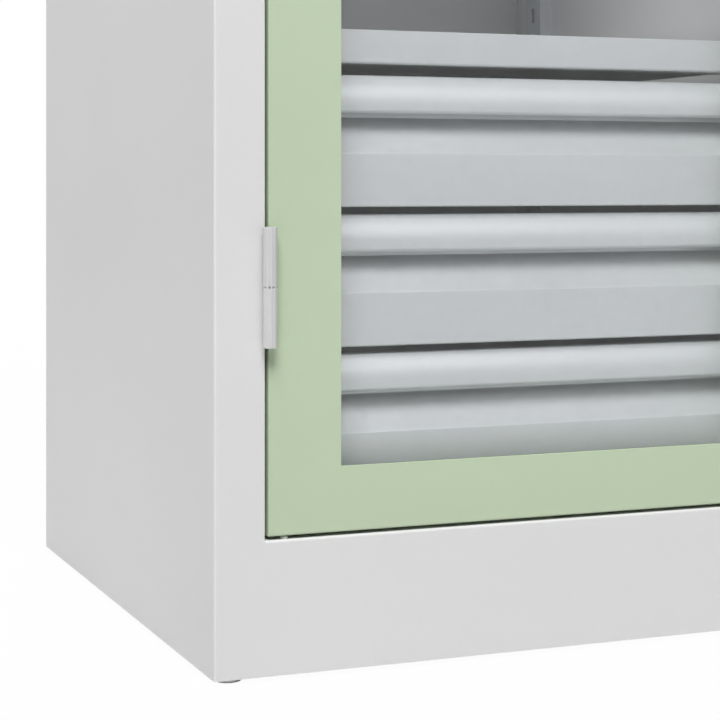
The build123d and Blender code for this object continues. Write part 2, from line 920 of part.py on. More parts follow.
# The three nested members, from the wall to the drawer
rail_half = slide_height / 2
middle_half = rail_half - slide_sheet - slide_running_gap
runner_half = middle_half - slide_sheet - slide_running_gap
middle_lip_start = slide_sheet + slide_web_gap
middle_web = (slide_width - slide_sheet) / 2
runner_lip_start = middle_web + slide_sheet + slide_web_gap
middle_lip_end = slide_width - slide_sheet - slide_web_gap
slide_walls = ((drawer_low_x - slide_width, 1), (drawer_high_x + slide_width, -1))

with BuildPart() as slide_rails:
    for number in range(1, drawer_count + 1):
        middle_z = drawer_bottom(number) + tray_lift + tray_height / 2
        for wall_x, inward in slide_walls:
            channel(wall_x, inward, 0, 0, rail_lip, rail_half, middle_z)
save(slide_rails, "slide_rails")

# Carriers between the uprights: a channel on the hinge side, a strip at the partition
carrier_front = front_upright_y - upright_width / 2
carrier_rear = rear_upright_y + upright_width / 2
with BuildPart() as drawer_carriers:
    for number in range(1, drawer_count + 1):
        middle_z = drawer_bottom(number) + tray_lift + tray_height / 2
        with BuildSketch(facing(carrier_front)):
            folded(
                [
                    (-upright_face, middle_z - carrier_height / 2),
                    (drawer_low_x - slide_width, middle_z - carrier_height / 2),
                    (drawer_low_x - slide_width, middle_z + carrier_height / 2),
                    (-upright_face, middle_z + carrier_height / 2),
                ],
                carrier_sheet,
                Side.LEFT,
            )
        extrude(amount=carrier_front - carrier_rear)
        block(
            (drawer_high_x + slide_width, carrier_front, middle_z - carrier_height / 2),
            (-partition_upright_face, carrier_rear, middle_z + carrier_height / 2),
        )
save(drawer_carriers, "drawer_carriers")

for number in range(1, drawer_count + 1):
    bottom_z = drawer_bottom(number)
    middle_z = bottom_z + tray_lift + tray_height / 2
    save(drawer_front(bottom_z), f"drawer_{number}_front")
    save(drawer_tray(bottom_z), f"drawer_{number}_tray")
    with BuildPart() as middle_members:
        for wall_x, inward in slide_walls:
            channel(wall_x, inward, middle_web, middle_lip_start, middle_lip_end, middle_half, middle_z)
    save(middle_members, f"drawer_{number}_middle_slides")
    with BuildPart() as runners:
        for wall_x, inward in slide_walls:
            channel(
                wall_x,
                inward,
                slide_width - slide_sheet,
                runner_lip_start,
                slide_width,
                runner_half,
                middle_z,
            )
    save(runners, f"drawer_{number}_runners")
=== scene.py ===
"""Looks of the heavy-duty cabinet: finishes, finely shaped pieces, studio and camera.

Metres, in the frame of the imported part: X to the right seen from the front, Y from the
front to the rear, Z up, origin on the floor in the middle of the outer box.
"""

import json
import logging
from dataclasses import dataclass
from enum import Enum
from typing import Any, Callable, Sequence

import bmesh
import bpy
import numpy as np
from mathutils import Matrix, Vector

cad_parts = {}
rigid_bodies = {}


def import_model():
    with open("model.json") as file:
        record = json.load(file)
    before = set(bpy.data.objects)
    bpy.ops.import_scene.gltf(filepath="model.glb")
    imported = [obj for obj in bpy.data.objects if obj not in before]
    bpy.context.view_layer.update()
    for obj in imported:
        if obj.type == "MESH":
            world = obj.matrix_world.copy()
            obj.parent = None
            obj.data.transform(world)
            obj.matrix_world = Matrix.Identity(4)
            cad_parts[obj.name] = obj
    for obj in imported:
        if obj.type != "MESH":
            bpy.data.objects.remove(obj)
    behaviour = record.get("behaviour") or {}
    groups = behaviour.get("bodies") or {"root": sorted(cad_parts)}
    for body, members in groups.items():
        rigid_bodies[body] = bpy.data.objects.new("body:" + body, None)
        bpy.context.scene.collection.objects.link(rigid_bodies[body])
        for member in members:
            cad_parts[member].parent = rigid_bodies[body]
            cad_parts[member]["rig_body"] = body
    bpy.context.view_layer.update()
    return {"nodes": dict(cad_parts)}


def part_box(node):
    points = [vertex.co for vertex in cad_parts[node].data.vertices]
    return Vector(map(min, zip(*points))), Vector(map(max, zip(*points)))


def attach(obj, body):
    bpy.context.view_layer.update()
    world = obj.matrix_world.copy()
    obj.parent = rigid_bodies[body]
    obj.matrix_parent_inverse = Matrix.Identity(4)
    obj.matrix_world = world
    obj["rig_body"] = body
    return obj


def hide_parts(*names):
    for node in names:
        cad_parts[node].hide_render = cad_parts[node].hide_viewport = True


log = logging.getLogger("cabinet")
MM = 0.001
TAU = 2 * np.pi
# Grid points closer than this, in metres, are one.
WELD = 1e-7


class Hand(Enum):
    """Which half of the cabinet a piece belongs to; the value is the sign of its X."""

    LEFT = -1
    RIGHT = 1

    @property
    def word(self) -> str:
        """The half's name as the nodes use it."""
        return self.name.lower()


# Shader expressions


class Wire:
    """A number or vector socket that takes part in Python expressions."""

    def __init__(self, recipe: "Recipe", socket: bpy.types.NodeSocket) -> None:
        """Keep the recipe that the socket belongs to, and the socket.

        Args:
            recipe: the material recipe under construction.
            socket: an output socket in it.
        """
        self.recipe = recipe
        self.socket = socket

    def _math(self, operation: str, *terms: Any) -> "Wire":
        """The socket of one Math node.

        Args:
            operation: the node's operation.
            terms: its inputs, wires or plain numbers.

        Returns:
            The node's result.
        """
        inputs = dict(enumerate(terms))
        return self.recipe.add("ShaderNodeMath", {"operation": operation}, inputs)

    def __add__(self, other: Any) -> "Wire":
        """This plus other."""
        return self._math("ADD", self, other)

    def __radd__(self, other: Any) -> "Wire":
        """Other plus this."""
        return self._math("ADD", other, self)

    def __mul__(self, other: Any) -> "Wire":
        """This times other."""
        return self._math("MULTIPLY", self, other)

    def __rmul__(self, other: Any) -> "Wire":
        """Other times this."""
        return self._math("MULTIPLY", other, self)

    def ramp(self, low: float, high: float) -> "Wire":
        """This rescaled so that low becomes 0 and high becomes 1, and held between them.

        Args:
            low: the value that gives 0.
            high: the value that gives 1.

        Returns:
            The rescaled wire.
        """
        settings = {"clamp": True}
        inputs = {"Value": self, "From Min": low, "From Max": high, "To Min": 0.0, "To Max": 1.0}
        return self.recipe.add("ShaderNodeMapRange", settings, inputs)


class Recipe:
    """One node-based material under construction, around a Principled shader."""

    def __init__(self, name: str) -> None:
        """Start an empty material.

        Args:
            name: the material's name.
        """
        self.material = bpy.data.materials.new(name)
        self.material.use_nodes = True
        self.tree = self.material.node_tree
        self.tree.nodes.clear()
        self.shader = self.tree.nodes.new("ShaderNodeBsdfPrincipled")
        self.output = self.tree.nodes.new("ShaderNodeOutputMaterial")
        self.tree.links.new(self.shader.outputs[0], self.output.inputs["Surface"])

    def plug(self, socket: bpy.types.NodeSocket, value: Any) -> None:
        """Link a wire to a socket, or set the socket to a plain value.

        Args:
            socket: the input socket.
            value: a wire, a number or a tuple.
        """
        if isinstance(value, Wire):
            self.tree.links.new(value.socket, socket)
        else:
            socket.default_value = value

    def add(self, kind: str, settings: dict, inputs: dict, output: Any = 0) -> Wire:
        """Add one node.

        Args:
            kind: the node's type.
            settings: its own settings, set before its sockets.
            inputs: socket name or number to a wire, a number or a tuple.
            output: the output socket's name or number.

        Returns:
            The chosen output.
        """
        node = self.tree.nodes.new(kind)
        for key, value in settings.items():
            setattr(node, key, value)
        for key, value in inputs.items():
            self.plug(node.inputs[key], value)
        return Wire(self, node.outputs[output])

    def place(self) -> Wire:
        """The point on the piece, in metres, in the cabinet's frame."""
        return self.add("ShaderNodeTexCoord", {}, {}, "Object")

    def stretched(self, point: Wire, scale: tuple[float, float, float]) -> Wire:
        """The point with each axis scaled.

        Args:
            point: the point to scale.
            scale: the factor for each axis.

        Returns:
            The scaled point.
        """
        return self.add("ShaderNodeMapping", {}, {"Vector": point, "Scale": scale})

    def noise(self, point: Wire, scale: float, detail: float = 2.0, roughness: float = 0.5) -> Wire:
        """Cloudy noise from 0 to 1.

        Args:
            point: where it is read.
            scale: features to the metre.
            detail: octaves.
            roughness: how strong the finer octaves are.

        Returns:
            The noise.
        """
        inputs = {"Vector": point, "Scale": scale, "Detail": detail, "Roughness": roughness}
        return self.add("ShaderNodeTexNoise", {}, inputs)

    def cells(self, point: Wire, scale: float) -> Wire:
        """One random number from 0 to 1 for each Voronoi cell.

        Args:
            point: where it is read.
            scale: cells to the metre.

        Returns:
            The cell's number, the red part of its random colour.
        """
        colour = self.add("ShaderNodeTexVoronoi", {}, {"Vector": point, "Scale": scale}, "Color")
        return self.add("ShaderNodeSeparateColor", {}, {"Color": colour})

    def blend(self, factor: Wire, low: tuple, high: tuple) -> Wire:
        """A colour between two.

        Args:
            factor: 0 for the first colour, 1 for the second.
            low: the first colour, linear.
            high: the second colour, linear.

        Returns:
            The mixed colour.
        """
        settings = {"data_type": "RGBA"}
        return self.add("ShaderNodeMix", settings, {0: factor, 6: (*low, 1), 7: (*high, 1)}, 2)

    def relief(self, height: Wire, depth: float, strength: float = 1.0) -> Wire:
        """Bump from a height.

        Args:
            height: the height, 0 to 1.
            depth: what 1 stands for, in metres.
            strength: the share of the bump that shows.

        Returns:
            The bent normal.
        """
        inputs = {"Height": height, "Distance": depth, "Strength": strength}
        return self.add("ShaderNodeBump", {}, inputs)

    def finish(self, **sockets: Any) -> bpy.types.Material:
        """Set the Principled shader's sockets and hand the material over.

        Args:
            sockets: socket names, spaces written as underscores, to their values.

        Returns:
            The finished material.
        """
        for name, value in sockets.items():
            self.plug(self.shader.inputs[name.replace("_", " ")], value)
        return self.material


def linear(red: float, green: float, blue: float) -> tuple[float, float, float]:
    """A colour written as 0 to 255 in sRGB, as linear light.

    Args:
        red: red, 0 to 255.
        green: green, 0 to 255.
        blue: blue, 0 to 255.

    Returns:
        The three linear values.
    """
    share = np.array([red, green, blue]) / 255
    bright = np.where(share <= 0.04045, share / 12.92, ((share + 0.055) / 1.055) ** 2.4)
    return tuple(float(value) for value in bright)


def shaded(colour: tuple, factor: float) -> tuple:
    """A colour made lighter or darker by one factor."""
    return tuple(min(1.0, value * factor) for value in colour)


# Finishes


@dataclass(frozen=True)
class PowderCoat:
    """Baked powder paint: fine orange peel, a faint drift in tone and in gloss."""

    name: str
    colour: tuple
    roughness: float = 0.42
    peel_scale: float = 420.0
    peel_depth: float = 0.00006
    drift: float = 0.018

    def mix(self) -> bpy.types.Material:
        """Soft clouds shift the tone, and two noises make the peel.

        Returns:
            The finished material.
        """
        recipe = Recipe(self.name)
        point = recipe.place()
        clouds = recipe.noise(point, 5.0, 3.0)
        grain = recipe.noise(point, self.peel_scale, 2.0, 0.6)
        fine = recipe.noise(point, self.peel_scale * 4, 1.0)
        tone = (clouds * 0.7 + grain * 0.3).ramp(0.3, 0.7)
        low = shaded(self.colour, 1 - self.drift)
        high = shaded(self.colour, 1 + self.drift)
        gloss = self.roughness - 0.04 + clouds * 0.05 + fine * 0.04
        return recipe.finish(
            Base_Color=recipe.blend(tone, low, high),
            Roughness=gloss,
            Normal=recipe.relief(grain * 0.7 + fine * 0.3, self.peel_depth),
            Specular_IOR_Level=0.45,
        )


@dataclass(frozen=True)
class ZincSheet:
    """Zinc-coated sheet: fine spangle, rolling streaks along X and a dull sheen."""

    name: str
    colour: tuple
    metallic: float = 0.42
    roughness: float = 0.34
    spangle: float = 260.0
    rolling: tuple = (3.0, 260.0, 260.0)
    drift: float = 0.028
    depth: float = 0.00003

    def mix(self) -> bpy.types.Material:
        """Cell tones make the spangle, and stretched noise the rolling.

        Returns:
            The finished material.
        """
        recipe = Recipe(self.name)
        point = recipe.place()
        crystals = recipe.cells(point, self.spangle)
        streaks = recipe.noise(recipe.stretched(point, self.rolling), 1.0, 3.0, 0.6)
        clouds = recipe.noise(point, 9.0, 3.0)
        tone = (crystals * 0.25 + streaks * 0.35 + clouds * 0.4).ramp(0.25, 0.75)
        low = shaded(self.colour, 1 - self.drift)
        high = shaded(self.colour, 1 + self.drift)
        return recipe.finish(
            Base_Color=recipe.blend(tone, low, high),
            Metallic=self.metallic,
            Roughness=self.roughness - 0.06 + crystals * 0.05 + clouds * 0.07,
            Normal=recipe.relief(streaks * 0.6 + crystals * 0.4, self.depth, 0.6),
        )


@dataclass(frozen=True)
class PlatedSteel:
    """Bright zinc plating on drawn or turned steel, with fine lines along one axis."""

    name: str
    colour: tuple
    lines: tuple = (900.0, 900.0, 12.0)
    metallic: float = 0.9
    roughness: float = 0.32
    bloom_scale: float = 30.0
    warmth: tuple = (1.02, 0.99, 0.93)
    depth: float = 0.00002

    def mix(self) -> bpy.types.Material:
        """Stretched noise makes the lines, and clouds a yellowish bloom.

        Returns:
            The finished material.
        """
        recipe = Recipe(self.name)
        point = recipe.place()
        drawn = recipe.noise(recipe.stretched(point, self.lines), 1.0, 3.0, 0.65)
        bloom = recipe.noise(point, self.bloom_scale, 4.0, 0.6)
        warm = tuple(value * share for value, share in zip(self.colour, self.warmth))
        tone = (drawn * 0.5 + bloom * 0.5).ramp(0.3, 0.72)
        return recipe.finish(
            Base_Color=recipe.blend(tone, self.colour, warm),
            Metallic=self.metallic,
            Roughness=self.roughness - 0.05 + drawn * 0.12 + bloom * 0.06,
            Normal=recipe.relief(drawn, self.depth, 0.5),
        )


@dataclass(frozen=True)
class Moulding:
    """Moulded plastic with a spark-eroded grain."""

    name: str
    colour: tuple
    roughness: float = 0.5
    grain: float = 1500.0
    flow_scale: float = 40.0
    drift: float = 0.07
    depth: float = 0.00005

    def mix(self) -> bpy.types.Material:
        """A fine noise makes the grain, and a slow one shifts the tone.

        Returns:
            The finished material.
        """
        recipe = Recipe(self.name)
        point = recipe.place()
        pits = recipe.noise(point, self.grain, 2.0, 0.7)
        flow = recipe.noise(point, self.flow_scale, 2.0)
        tone = (pits * 0.4 + flow * 0.6).ramp(0.3, 0.7)
        low = shaded(self.colour, 1 - self.drift)
        high = shaded(self.colour, 1 + self.drift)
        return recipe.finish(
            Base_Color=recipe.blend(tone, low, high),
            Roughness=self.roughness - 0.05 + pits * 0.08 + flow * 0.04,
            Normal=recipe.relief(pits, self.depth, 0.7),
        )


@dataclass(frozen=True)
class FoamRubber:
    """Closed-cell foam: tiny round pores in a matt black skin."""

    name: str
    colour: tuple
    pore_scale: float = 1400.0
    skin_scale: float = 220.0
    pore_depth: float = 0.00012

    def mix(self) -> bpy.types.Material:
        """The distance inside Voronoi cells makes the pores, and paints shade into them: the colour
        is darker down in each pore and lighter on the skin between.

        Returns:
            The finished material.
        """
        recipe = Recipe(self.name)
        point = recipe.place()
        inputs = {"Vector": point, "Scale": self.pore_scale}
        pore = recipe.add("ShaderNodeTexVoronoi", {}, inputs, "Distance")
        film = recipe.noise(point, self.skin_scale, 3.0)
        depth = pore.ramp(0.05, 0.5)
        return recipe.finish(
            # Painted shade: the pores' depth also sets the colour, darkest at each pore's bottom
            # and lightest on the skin between pores.
            Base_Color=recipe.blend(depth, shaded(self.colour, 0.6), shaded(self.colour, 1.25)),
            Roughness=0.82 + film * 0.12,
            Normal=recipe.relief(depth, self.pore_depth, 0.8),
        )


@dataclass(frozen=True)
class FerriteStrip:
    """Pressed ferrite with a cast skin and a few brighter flecks."""

    name: str
    colour: tuple
    fleck_scale: float = 1300.0
    press_scale: float = 500.0
    depth: float = 0.00005

    def mix(self) -> bpy.types.Material:
        """Rare bright cells lie over a fine noise.

        Returns:
            The finished material.
        """
        recipe = Recipe(self.name)
        point = recipe.place()
        flecks = recipe.cells(point, self.fleck_scale).ramp(0.86, 0.98)
        press = recipe.noise(point, self.press_scale, 3.0, 0.6)
        return recipe.finish(
            Base_Color=recipe.blend(flecks, self.colour, shaded(self.colour, 2.6)),
            Metallic=flecks * 0.5,
            Roughness=0.5 + press * 0.15,
            Normal=recipe.relief(press, self.depth, 0.6),
        )


@dataclass(frozen=True)
class ClearPane:
    """Clear polycarbonate: nearly invisible, with faint surface ripple and dust."""

    name: str
    haze: float = 0.03
    dust_scale: float = 60.0
    ripple_scale: float = 14.0
    ripple_depth: float = 0.0004

    def mix(self) -> bpy.types.Material:
        """Alpha rises a little where dust clouds lie.

        Returns:
            The finished material.
        """
        recipe = Recipe(self.name)
        point = recipe.place()
        dust = recipe.noise(point, self.dust_scale, 4.0, 0.7)
        ripple = recipe.noise(point, self.ripple_scale, 1.0)
        veil = dust.ramp(0.35, 0.8)
        recipe.material.surface_render_method = "BLENDED"
        return recipe.finish(
            Base_Color=recipe.blend(veil, (0.82, 0.86, 0.85), (0.9, 0.92, 0.91)),
            Alpha=self.haze + veil * 0.015,
            Roughness=0.04 + veil * 0.05,
            Normal=recipe.relief(ripple, self.ripple_depth, 0.2),
            IOR=1.45,
            Specular_IOR_Level=0.35,
        )


class Palette:
    """Every finish on the cabinet, mixed once and kept under its record slot."""

    def __init__(self) -> None:
        """Mix the finishes."""
        grey = linear(221, 221, 221)
        green = linear(190, 206, 177)
        knuckle = linear(204, 204, 204)
        rail = linear(182, 185, 188)
        recipes = {
            "body_paint": PowderCoat("body_powder_coat", grey),
            "door_paint": PowderCoat("door_powder_coat", green, roughness=0.46),
            "galvanised": ZincSheet("zinc_coated_sheet", linear(203, 207, 210)),
            "slide_steel": PlatedSteel("slide_plating", rail, lines=(900.0, 12.0, 900.0)),
            "hinge_steel": PowderCoat("hinge_paint", knuckle, roughness=0.5, peel_depth=0.00003),
            "zinc": PlatedSteel("fitting_plating", linear(188, 190, 192)),
            "window": ClearPane("clear_pane"),
            "seal": FoamRubber("window_seal", linear(30, 30, 31)),
            "nylon": Moulding("nylon", linear(240, 240, 239), roughness=0.42, grain=700.0),
            "magnet": FerriteStrip("ferrite", linear(46, 46, 48)),
            "handle_black": Moulding("handle_moulding", linear(34, 35, 37), roughness=0.55),
        }
        self.materials = {slot: recipe.mix() for slot, recipe in recipes.items()}

    def paint(self, obj: bpy.types.Object, slot: str) -> None:
        """Give an object the finish of a record slot.

        Args:
            obj: a mesh object.
            slot: the record's material slot.
        """
        obj.data.materials.clear()
        obj.data.materials.append(self.materials[slot])


# Surfaces


def quads(rows: int, columns: int, wrap_rows: bool, wrap_columns: bool) -> np.ndarray:
    """Corner numbers of the faces of a grid, four to a face.

    Args:
        rows: points along the first parameter.
        columns: points along the second.
        wrap_rows: whether the last row joins the first.
        wrap_columns: whether the last column joins the first.

    Returns:
        An array of shape (faces, 4).
    """
    row = np.arange(rows if wrap_rows else rows - 1)[:, None]
    column = np.arange(columns if wrap_columns else columns - 1)[None, :]
    next_row = (row + 1) % rows
    next_column = (column + 1) % columns
    corners = (
        row * columns + column,
        row * columns + next_column,
        next_row * columns + next_column,
        next_row * columns + column,
    )
    return np.stack(np.broadcast_arrays(*corners), axis=-1).reshape(-1, 4)


def skin(
    name: str,
    grids: Sequence[np.ndarray],
    wrap_rows: bool = False,
    wrap_columns: bool = True,
    smooth: float = 35.0,
    keep: Callable[[np.ndarray], np.ndarray] | None = None,
) -> bpy.types.Object:
    """One mesh object from grids of points; poles and seams are merged, faces point out.

    Args:
        name: the piece's name.
        grids: arrays of shape (rows, columns, 3), in metres.
        wrap_rows: whether each grid closes along its rows.
        wrap_columns: whether each grid closes along its columns.
        smooth: edges sharper than this many degrees stay crisp.
        keep: picks the faces to keep from the middle points of all faces.

    Returns:
        The object, linked to the scene.
    """
    points, faces, start = [], [], 0
    for grid in grids:
        rows, columns = grid.shape[:2]
        points.append(grid.reshape(-1, 3))
        faces.append(quads(rows, columns, wrap_rows, wrap_columns) + start)
        start += rows * columns
    corners = np.concatenate(points)
    polygons = np.concatenate(faces)
    if keep is not None:
        polygons = polygons[keep(corners[polygons].mean(axis=1))]
    mesh = bpy.data.meshes.new(name)
    mesh.from_pydata(corners.tolist(), [], polygons.tolist())
    work = bmesh.new()
    work.from_mesh(mesh)
    bmesh.ops.remove_doubles(work, verts=work.verts, dist=WELD)
    loose = [vertex for vertex in work.verts if not vertex.link_faces]
    bmesh.ops.delete(work, geom=loose, context="VERTS")
    bmesh.ops.recalc_face_normals(work, faces=work.faces)
    work.to_mesh(mesh)
    work.free()
    mesh.shade_smooth()
    mesh.set_sharp_from_angle(angle=np.radians(smooth))
    obj = bpy.data.objects.new(name, mesh)
    bpy.context.scene.collection.objects.link(obj)
    return obj


def spun(profile: np.ndarray, columns: int, ripple: np.ndarray | None = None) -> np.ndarray:
    """A profile of (radius, height) carried round the Z axis.

    The point at row i and angle a is (r cos a, r sin a, z), r being the row's radius plus
    the ripple at that row and angle.

    Args:
        profile: array of shape (rows, 2).
        columns: points round the axis.
        ripple: radius added at each row and column.

    Returns:
        An array of shape (rows, columns, 3).
    """
    angle = np.arange(columns) * TAU / columns
    radius = profile[:, :1] + (0 if ripple is None else ripple)
    height = np.broadcast_to(profile[:, 1:], (len(profile), columns))
    return np.stack([radius * np.cos(angle), radius * np.sin(angle), height], axis=-1)


def moved(grid: np.ndarray, to: Sequence[float], turn: Matrix | None = None) -> np.ndarray:
    """A grid turned and then shifted.

    Args:
        grid: array whose last axis is X, Y, Z.
        to: the shift in metres.
        turn: a rotation about the origin.

    Returns:
        The moved grid.
    """
    if turn is not None:
        grid = grid @ np.array(turn.to_3x3()).T
    return grid + np.array(to)


def facing(direction: Sequence[float]) -> Matrix:
    """The rotation that takes +Z to a direction."""
    return Vector((0, 0, 1)).rotation_difference(Vector(direction)).to_matrix()


def arc(
    middle: Sequence[float], radius: float, start: float, end: float, steps: int = 6
) -> np.ndarray:
    """Points of an arc: middle plus radius times (cosine, sine) of angles from start to end.

    Args:
        middle: the arc's middle in the profile's plane.
        radius: its radius.
        start: first angle in degrees.
        end: last angle in degrees.
        steps: number of points.

    Returns:
        An array of shape (steps, 2).
    """
    angle = np.radians(np.linspace(start, end, steps))
    return np.array(middle) + radius * np.stack([np.cos(angle), np.sin(angle)], axis=1)


class FoldLine:
    """The line of a folded sheet in a plane, walked as straights and bends.

    A bend has a point every STEP degrees, and FEWEST points at least.
    """

    STEP = 6
    FEWEST = 3

    def __init__(self, start: Sequence[float], heading: float) -> None:
        """Stand at a point and face a direction.

        Args:
            start: the first point.
            heading: the direction in degrees, from the plane's first axis.
        """
        self.points = [np.array([start], float)]
        self.headings = [np.array([np.radians(heading)])]

    def ahead(self, length: float) -> "FoldLine":
        """A straight: the last point plus length along the heading.

        Args:
            length: how far to go.

        Returns:
            The line, for the next step.
        """
        heading = self.headings[-1][-1:]
        step = length * np.stack([np.cos(heading), np.sin(heading)], axis=1)
        self.points.append(self.points[-1][-1:] + step)
        self.headings.append(heading)
        return self

    def bend(self, radius: float, angle: float) -> "FoldLine":
        """An arc that turns left for a positive angle in degrees, right for a negative one.

        The middle lies one radius to that side; each point is the middle less the radius
        along the side's direction at its own heading.

        Args:
            radius: the arc's radius.
            angle: how far it turns, in degrees.

        Returns:
            The line, for the next step.
        """
        side = np.sign(angle)
        begin = self.headings[-1][-1]
        count = max(self.FEWEST, int(abs(angle) / self.STEP) + 1)
        turn = begin + np.radians(angle) * np.linspace(0, 1, count)
        across = side * radius * np.stack([-np.sin(turn), np.cos(turn)], axis=1)
        middle = self.points[-1][-1] + across[0]
        self.points.append((middle - across)[1:])
        self.headings.append(turn[1:])
        return self

    def faces(self, thickness: float) -> tuple[np.ndarray, np.ndarray]:
        """The line, and the line moved to its right by the sheet's thickness.

        Args:
            thickness: the sheet's thickness.

        Returns:
            The two faces, each of shape (points, 2).
        """
        line = np.concatenate(self.points)
        heading = np.concatenate(self.headings)
        right = np.stack([np.sin(heading), -np.cos(heading)], axis=1)
        return line, line + thickness * right


def turned(profile: Sequence[Sequence[float]], columns: int, axis: Sequence[float]) -> np.ndarray:
    """A profile of (radius, distance to the front) carried round an axis along Y.

    Args:
        profile: rows of (radius, distance), joined in order.
        columns: points round the axis.
        axis: X and Z of the axis.

    Returns:
        An array of shape (rows, columns, 3).
    """
    return moved(spun(np.array(profile), columns), (axis[0], 0, axis[1]), facing((0, -1, 0)))


def framed(profile: np.ndarray, low: Sequence[float], high: Sequence[float]) -> np.ndarray:
    """A profile of (outward, Y) carried round an upright rectangle with mitred corners.

    At each corner the point is the corner moved by the outward part along both X and Z.

    Args:
        profile: array of shape (points, 2), a closed loop.
        low: lowest X and Z of the rectangle.
        high: highest X and Z of the rectangle.

    Returns:
        An array of shape (4, points, 3).
    """
    side = np.array([(-1, -1), (1, -1), (1, 1), (-1, 1)])
    corner = np.where(side < 0, np.array(low), np.array(high))
    outward = profile[None, :, :1] * side[:, None, :] + corner[:, None, :]
    depth = np.broadcast_to(profile[None, :, 1], (4, len(profile)))
    return np.stack([outward[..., 0], depth, outward[..., 1]], axis=-1)


def signed_power(wave: np.ndarray, power: float) -> np.ndarray:
    """The wave's magnitude to a power, with its sign kept."""
    return np.sign(wave) * np.abs(wave) ** power


def rounded_slab(
    low: Sequence[float], high: Sequence[float], edge: float, rows: int = 17, columns: int = 32
) -> np.ndarray:
    """A box with rounded edges, as one closed grid.

    Latitude and longitude of a superellipsoid: each coordinate is the signed power of the
    sphere's cosine or sine, scaled to the half size, so a small power gives flat faces.

    Args:
        low: the lowest corner.
        high: the highest corner.
        edge: how round it is, from near 0 for a box to 1 for an ellipsoid.
        rows: points from pole to pole.
        columns: points round it.

    Returns:
        An array of shape (rows, columns, 3).
    """
    low, high = np.array(low), np.array(high)
    latitude = np.linspace(-np.pi / 2, np.pi / 2, rows)[:, None]
    longitude = np.linspace(0, TAU, columns, endpoint=False)[None, :]
    ring = signed_power(np.cos(latitude), edge)
    x = ring * signed_power(np.cos(longitude), edge)
    y = ring * signed_power(np.sin(longitude), edge)
    z = signed_power(np.sin(latitude), edge) * np.ones_like(longitude)
    unit = np.stack(np.broadcast_arrays(x, y, z), axis=-1)
    return unit * (high - low) / 2 + (high + low) / 2


# Sub-assemblies


@dataclass
class SheetEdges:
    """Stands merged copies with softened edges in for CAD sheets.

    Points nearer than weld become one, and so do faces that meet within flat degrees. Edges
    sharper than crisp degrees are rounded, with as many faces across as steps says.
    """

    palette: Palette
    nodes: dict
    weld: float = 2e-6
    flat: float = 0.5
    crisp: float = 34.0
    steps: int = 2

    def soften(self, node: str, slot: str, edge: float) -> None:
        """A copy of a CAD node with a small radius on every sharp edge.

        Args:
            node: the CAD node's name.
            slot: the record's material slot.
            edge: the radius in metres.
        """
        source = self.nodes[node]
        flat, crisp = np.radians(self.flat), np.radians(self.crisp)
        work = bmesh.new()
        work.from_mesh(source.data)
        bmesh.ops.remove_doubles(work, verts=work.verts, dist=self.weld)
        bmesh.ops.dissolve_limit(
            work, angle_limit=flat, verts=work.verts, edges=work.edges, delimit=set()
        )
        corners = [tuple(vertex.co) for vertex in work.verts]
        work.verts.index_update()
        faces = [[vertex.index for vertex in face.verts] for face in work.faces]
        work.free()
        mesh = bpy.data.meshes.new(f"{node}_soft")
        mesh.from_pydata(corners, [], faces)
        mesh.shade_smooth()
        mesh.set_sharp_from_angle(angle=crisp)
        copy = bpy.data.objects.new(f"{node}_soft", mesh)
        bpy.context.scene.collection.objects.link(copy)
        bevel = copy.modifiers.new("edge", "BEVEL")
        bevel.width = edge
        bevel.segments = self.steps
        bevel.limit_method = "ANGLE"
        bevel.angle_limit = crisp
        bevel.harden_normals = True
        bevel.use_clamp_overlap = True
        self.palette.paint(copy, slot)
        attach(copy, source["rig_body"])
        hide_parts(node)
        log.info("%s: softened copy", copy.name)

    def plain(self, node: str, slot: str) -> None:
        """Keep a CAD node as it is and give it its finish."""
        self.palette.paint(self.nodes[node], slot)
        log.info("%s: finished as it is", node)


@dataclass
class Assembly:
    """What every sub-assembly needs: the sheet softener, which holds the nodes and finishes."""

    edges: SheetEdges

    def build(self) -> None:
        """Make new pieces; a sub-assembly without any keeps this."""

    def dress(self) -> None:
        """Finish the nodes that stay; a sub-assembly without any keeps this."""

    def adopt(self, obj: bpy.types.Object, body: str, slot: str, *nodes: str) -> None:
        """Finish a new piece: its looks, its body and the nodes that it stands for.

        Args:
            obj: the new piece.
            body: the CAD body that it rides on.
            slot: the record's material slot.
            nodes: CAD nodes that it replaces.
        """
        self.edges.palette.paint(obj, slot)
        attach(obj, body)
        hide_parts(*nodes)
        log.info("%s: %d faces on %s", obj.name, len(obj.data.polygons), body)


@dataclass
class Carcass(Assembly):
    """The welded body: walls, back, roof, floor, plinth, head rail and partition."""

    edge: float = 0.4 * MM
    flush: tuple = ("left_side", "right_side", "top_panel", "plinth_front", "head_rail")
    inner: tuple = ("floor_panel", "centre_partition", "back_panel")

    def dress(self) -> None:
        """Paint the sheets; those welded flush keep crisp edges, so no seam shows."""
        for node in self.flush:
            self.edges.plain(node, "body_paint")
        for node in self.inner:
            self.edges.soften(node, "body_paint", self.edge)


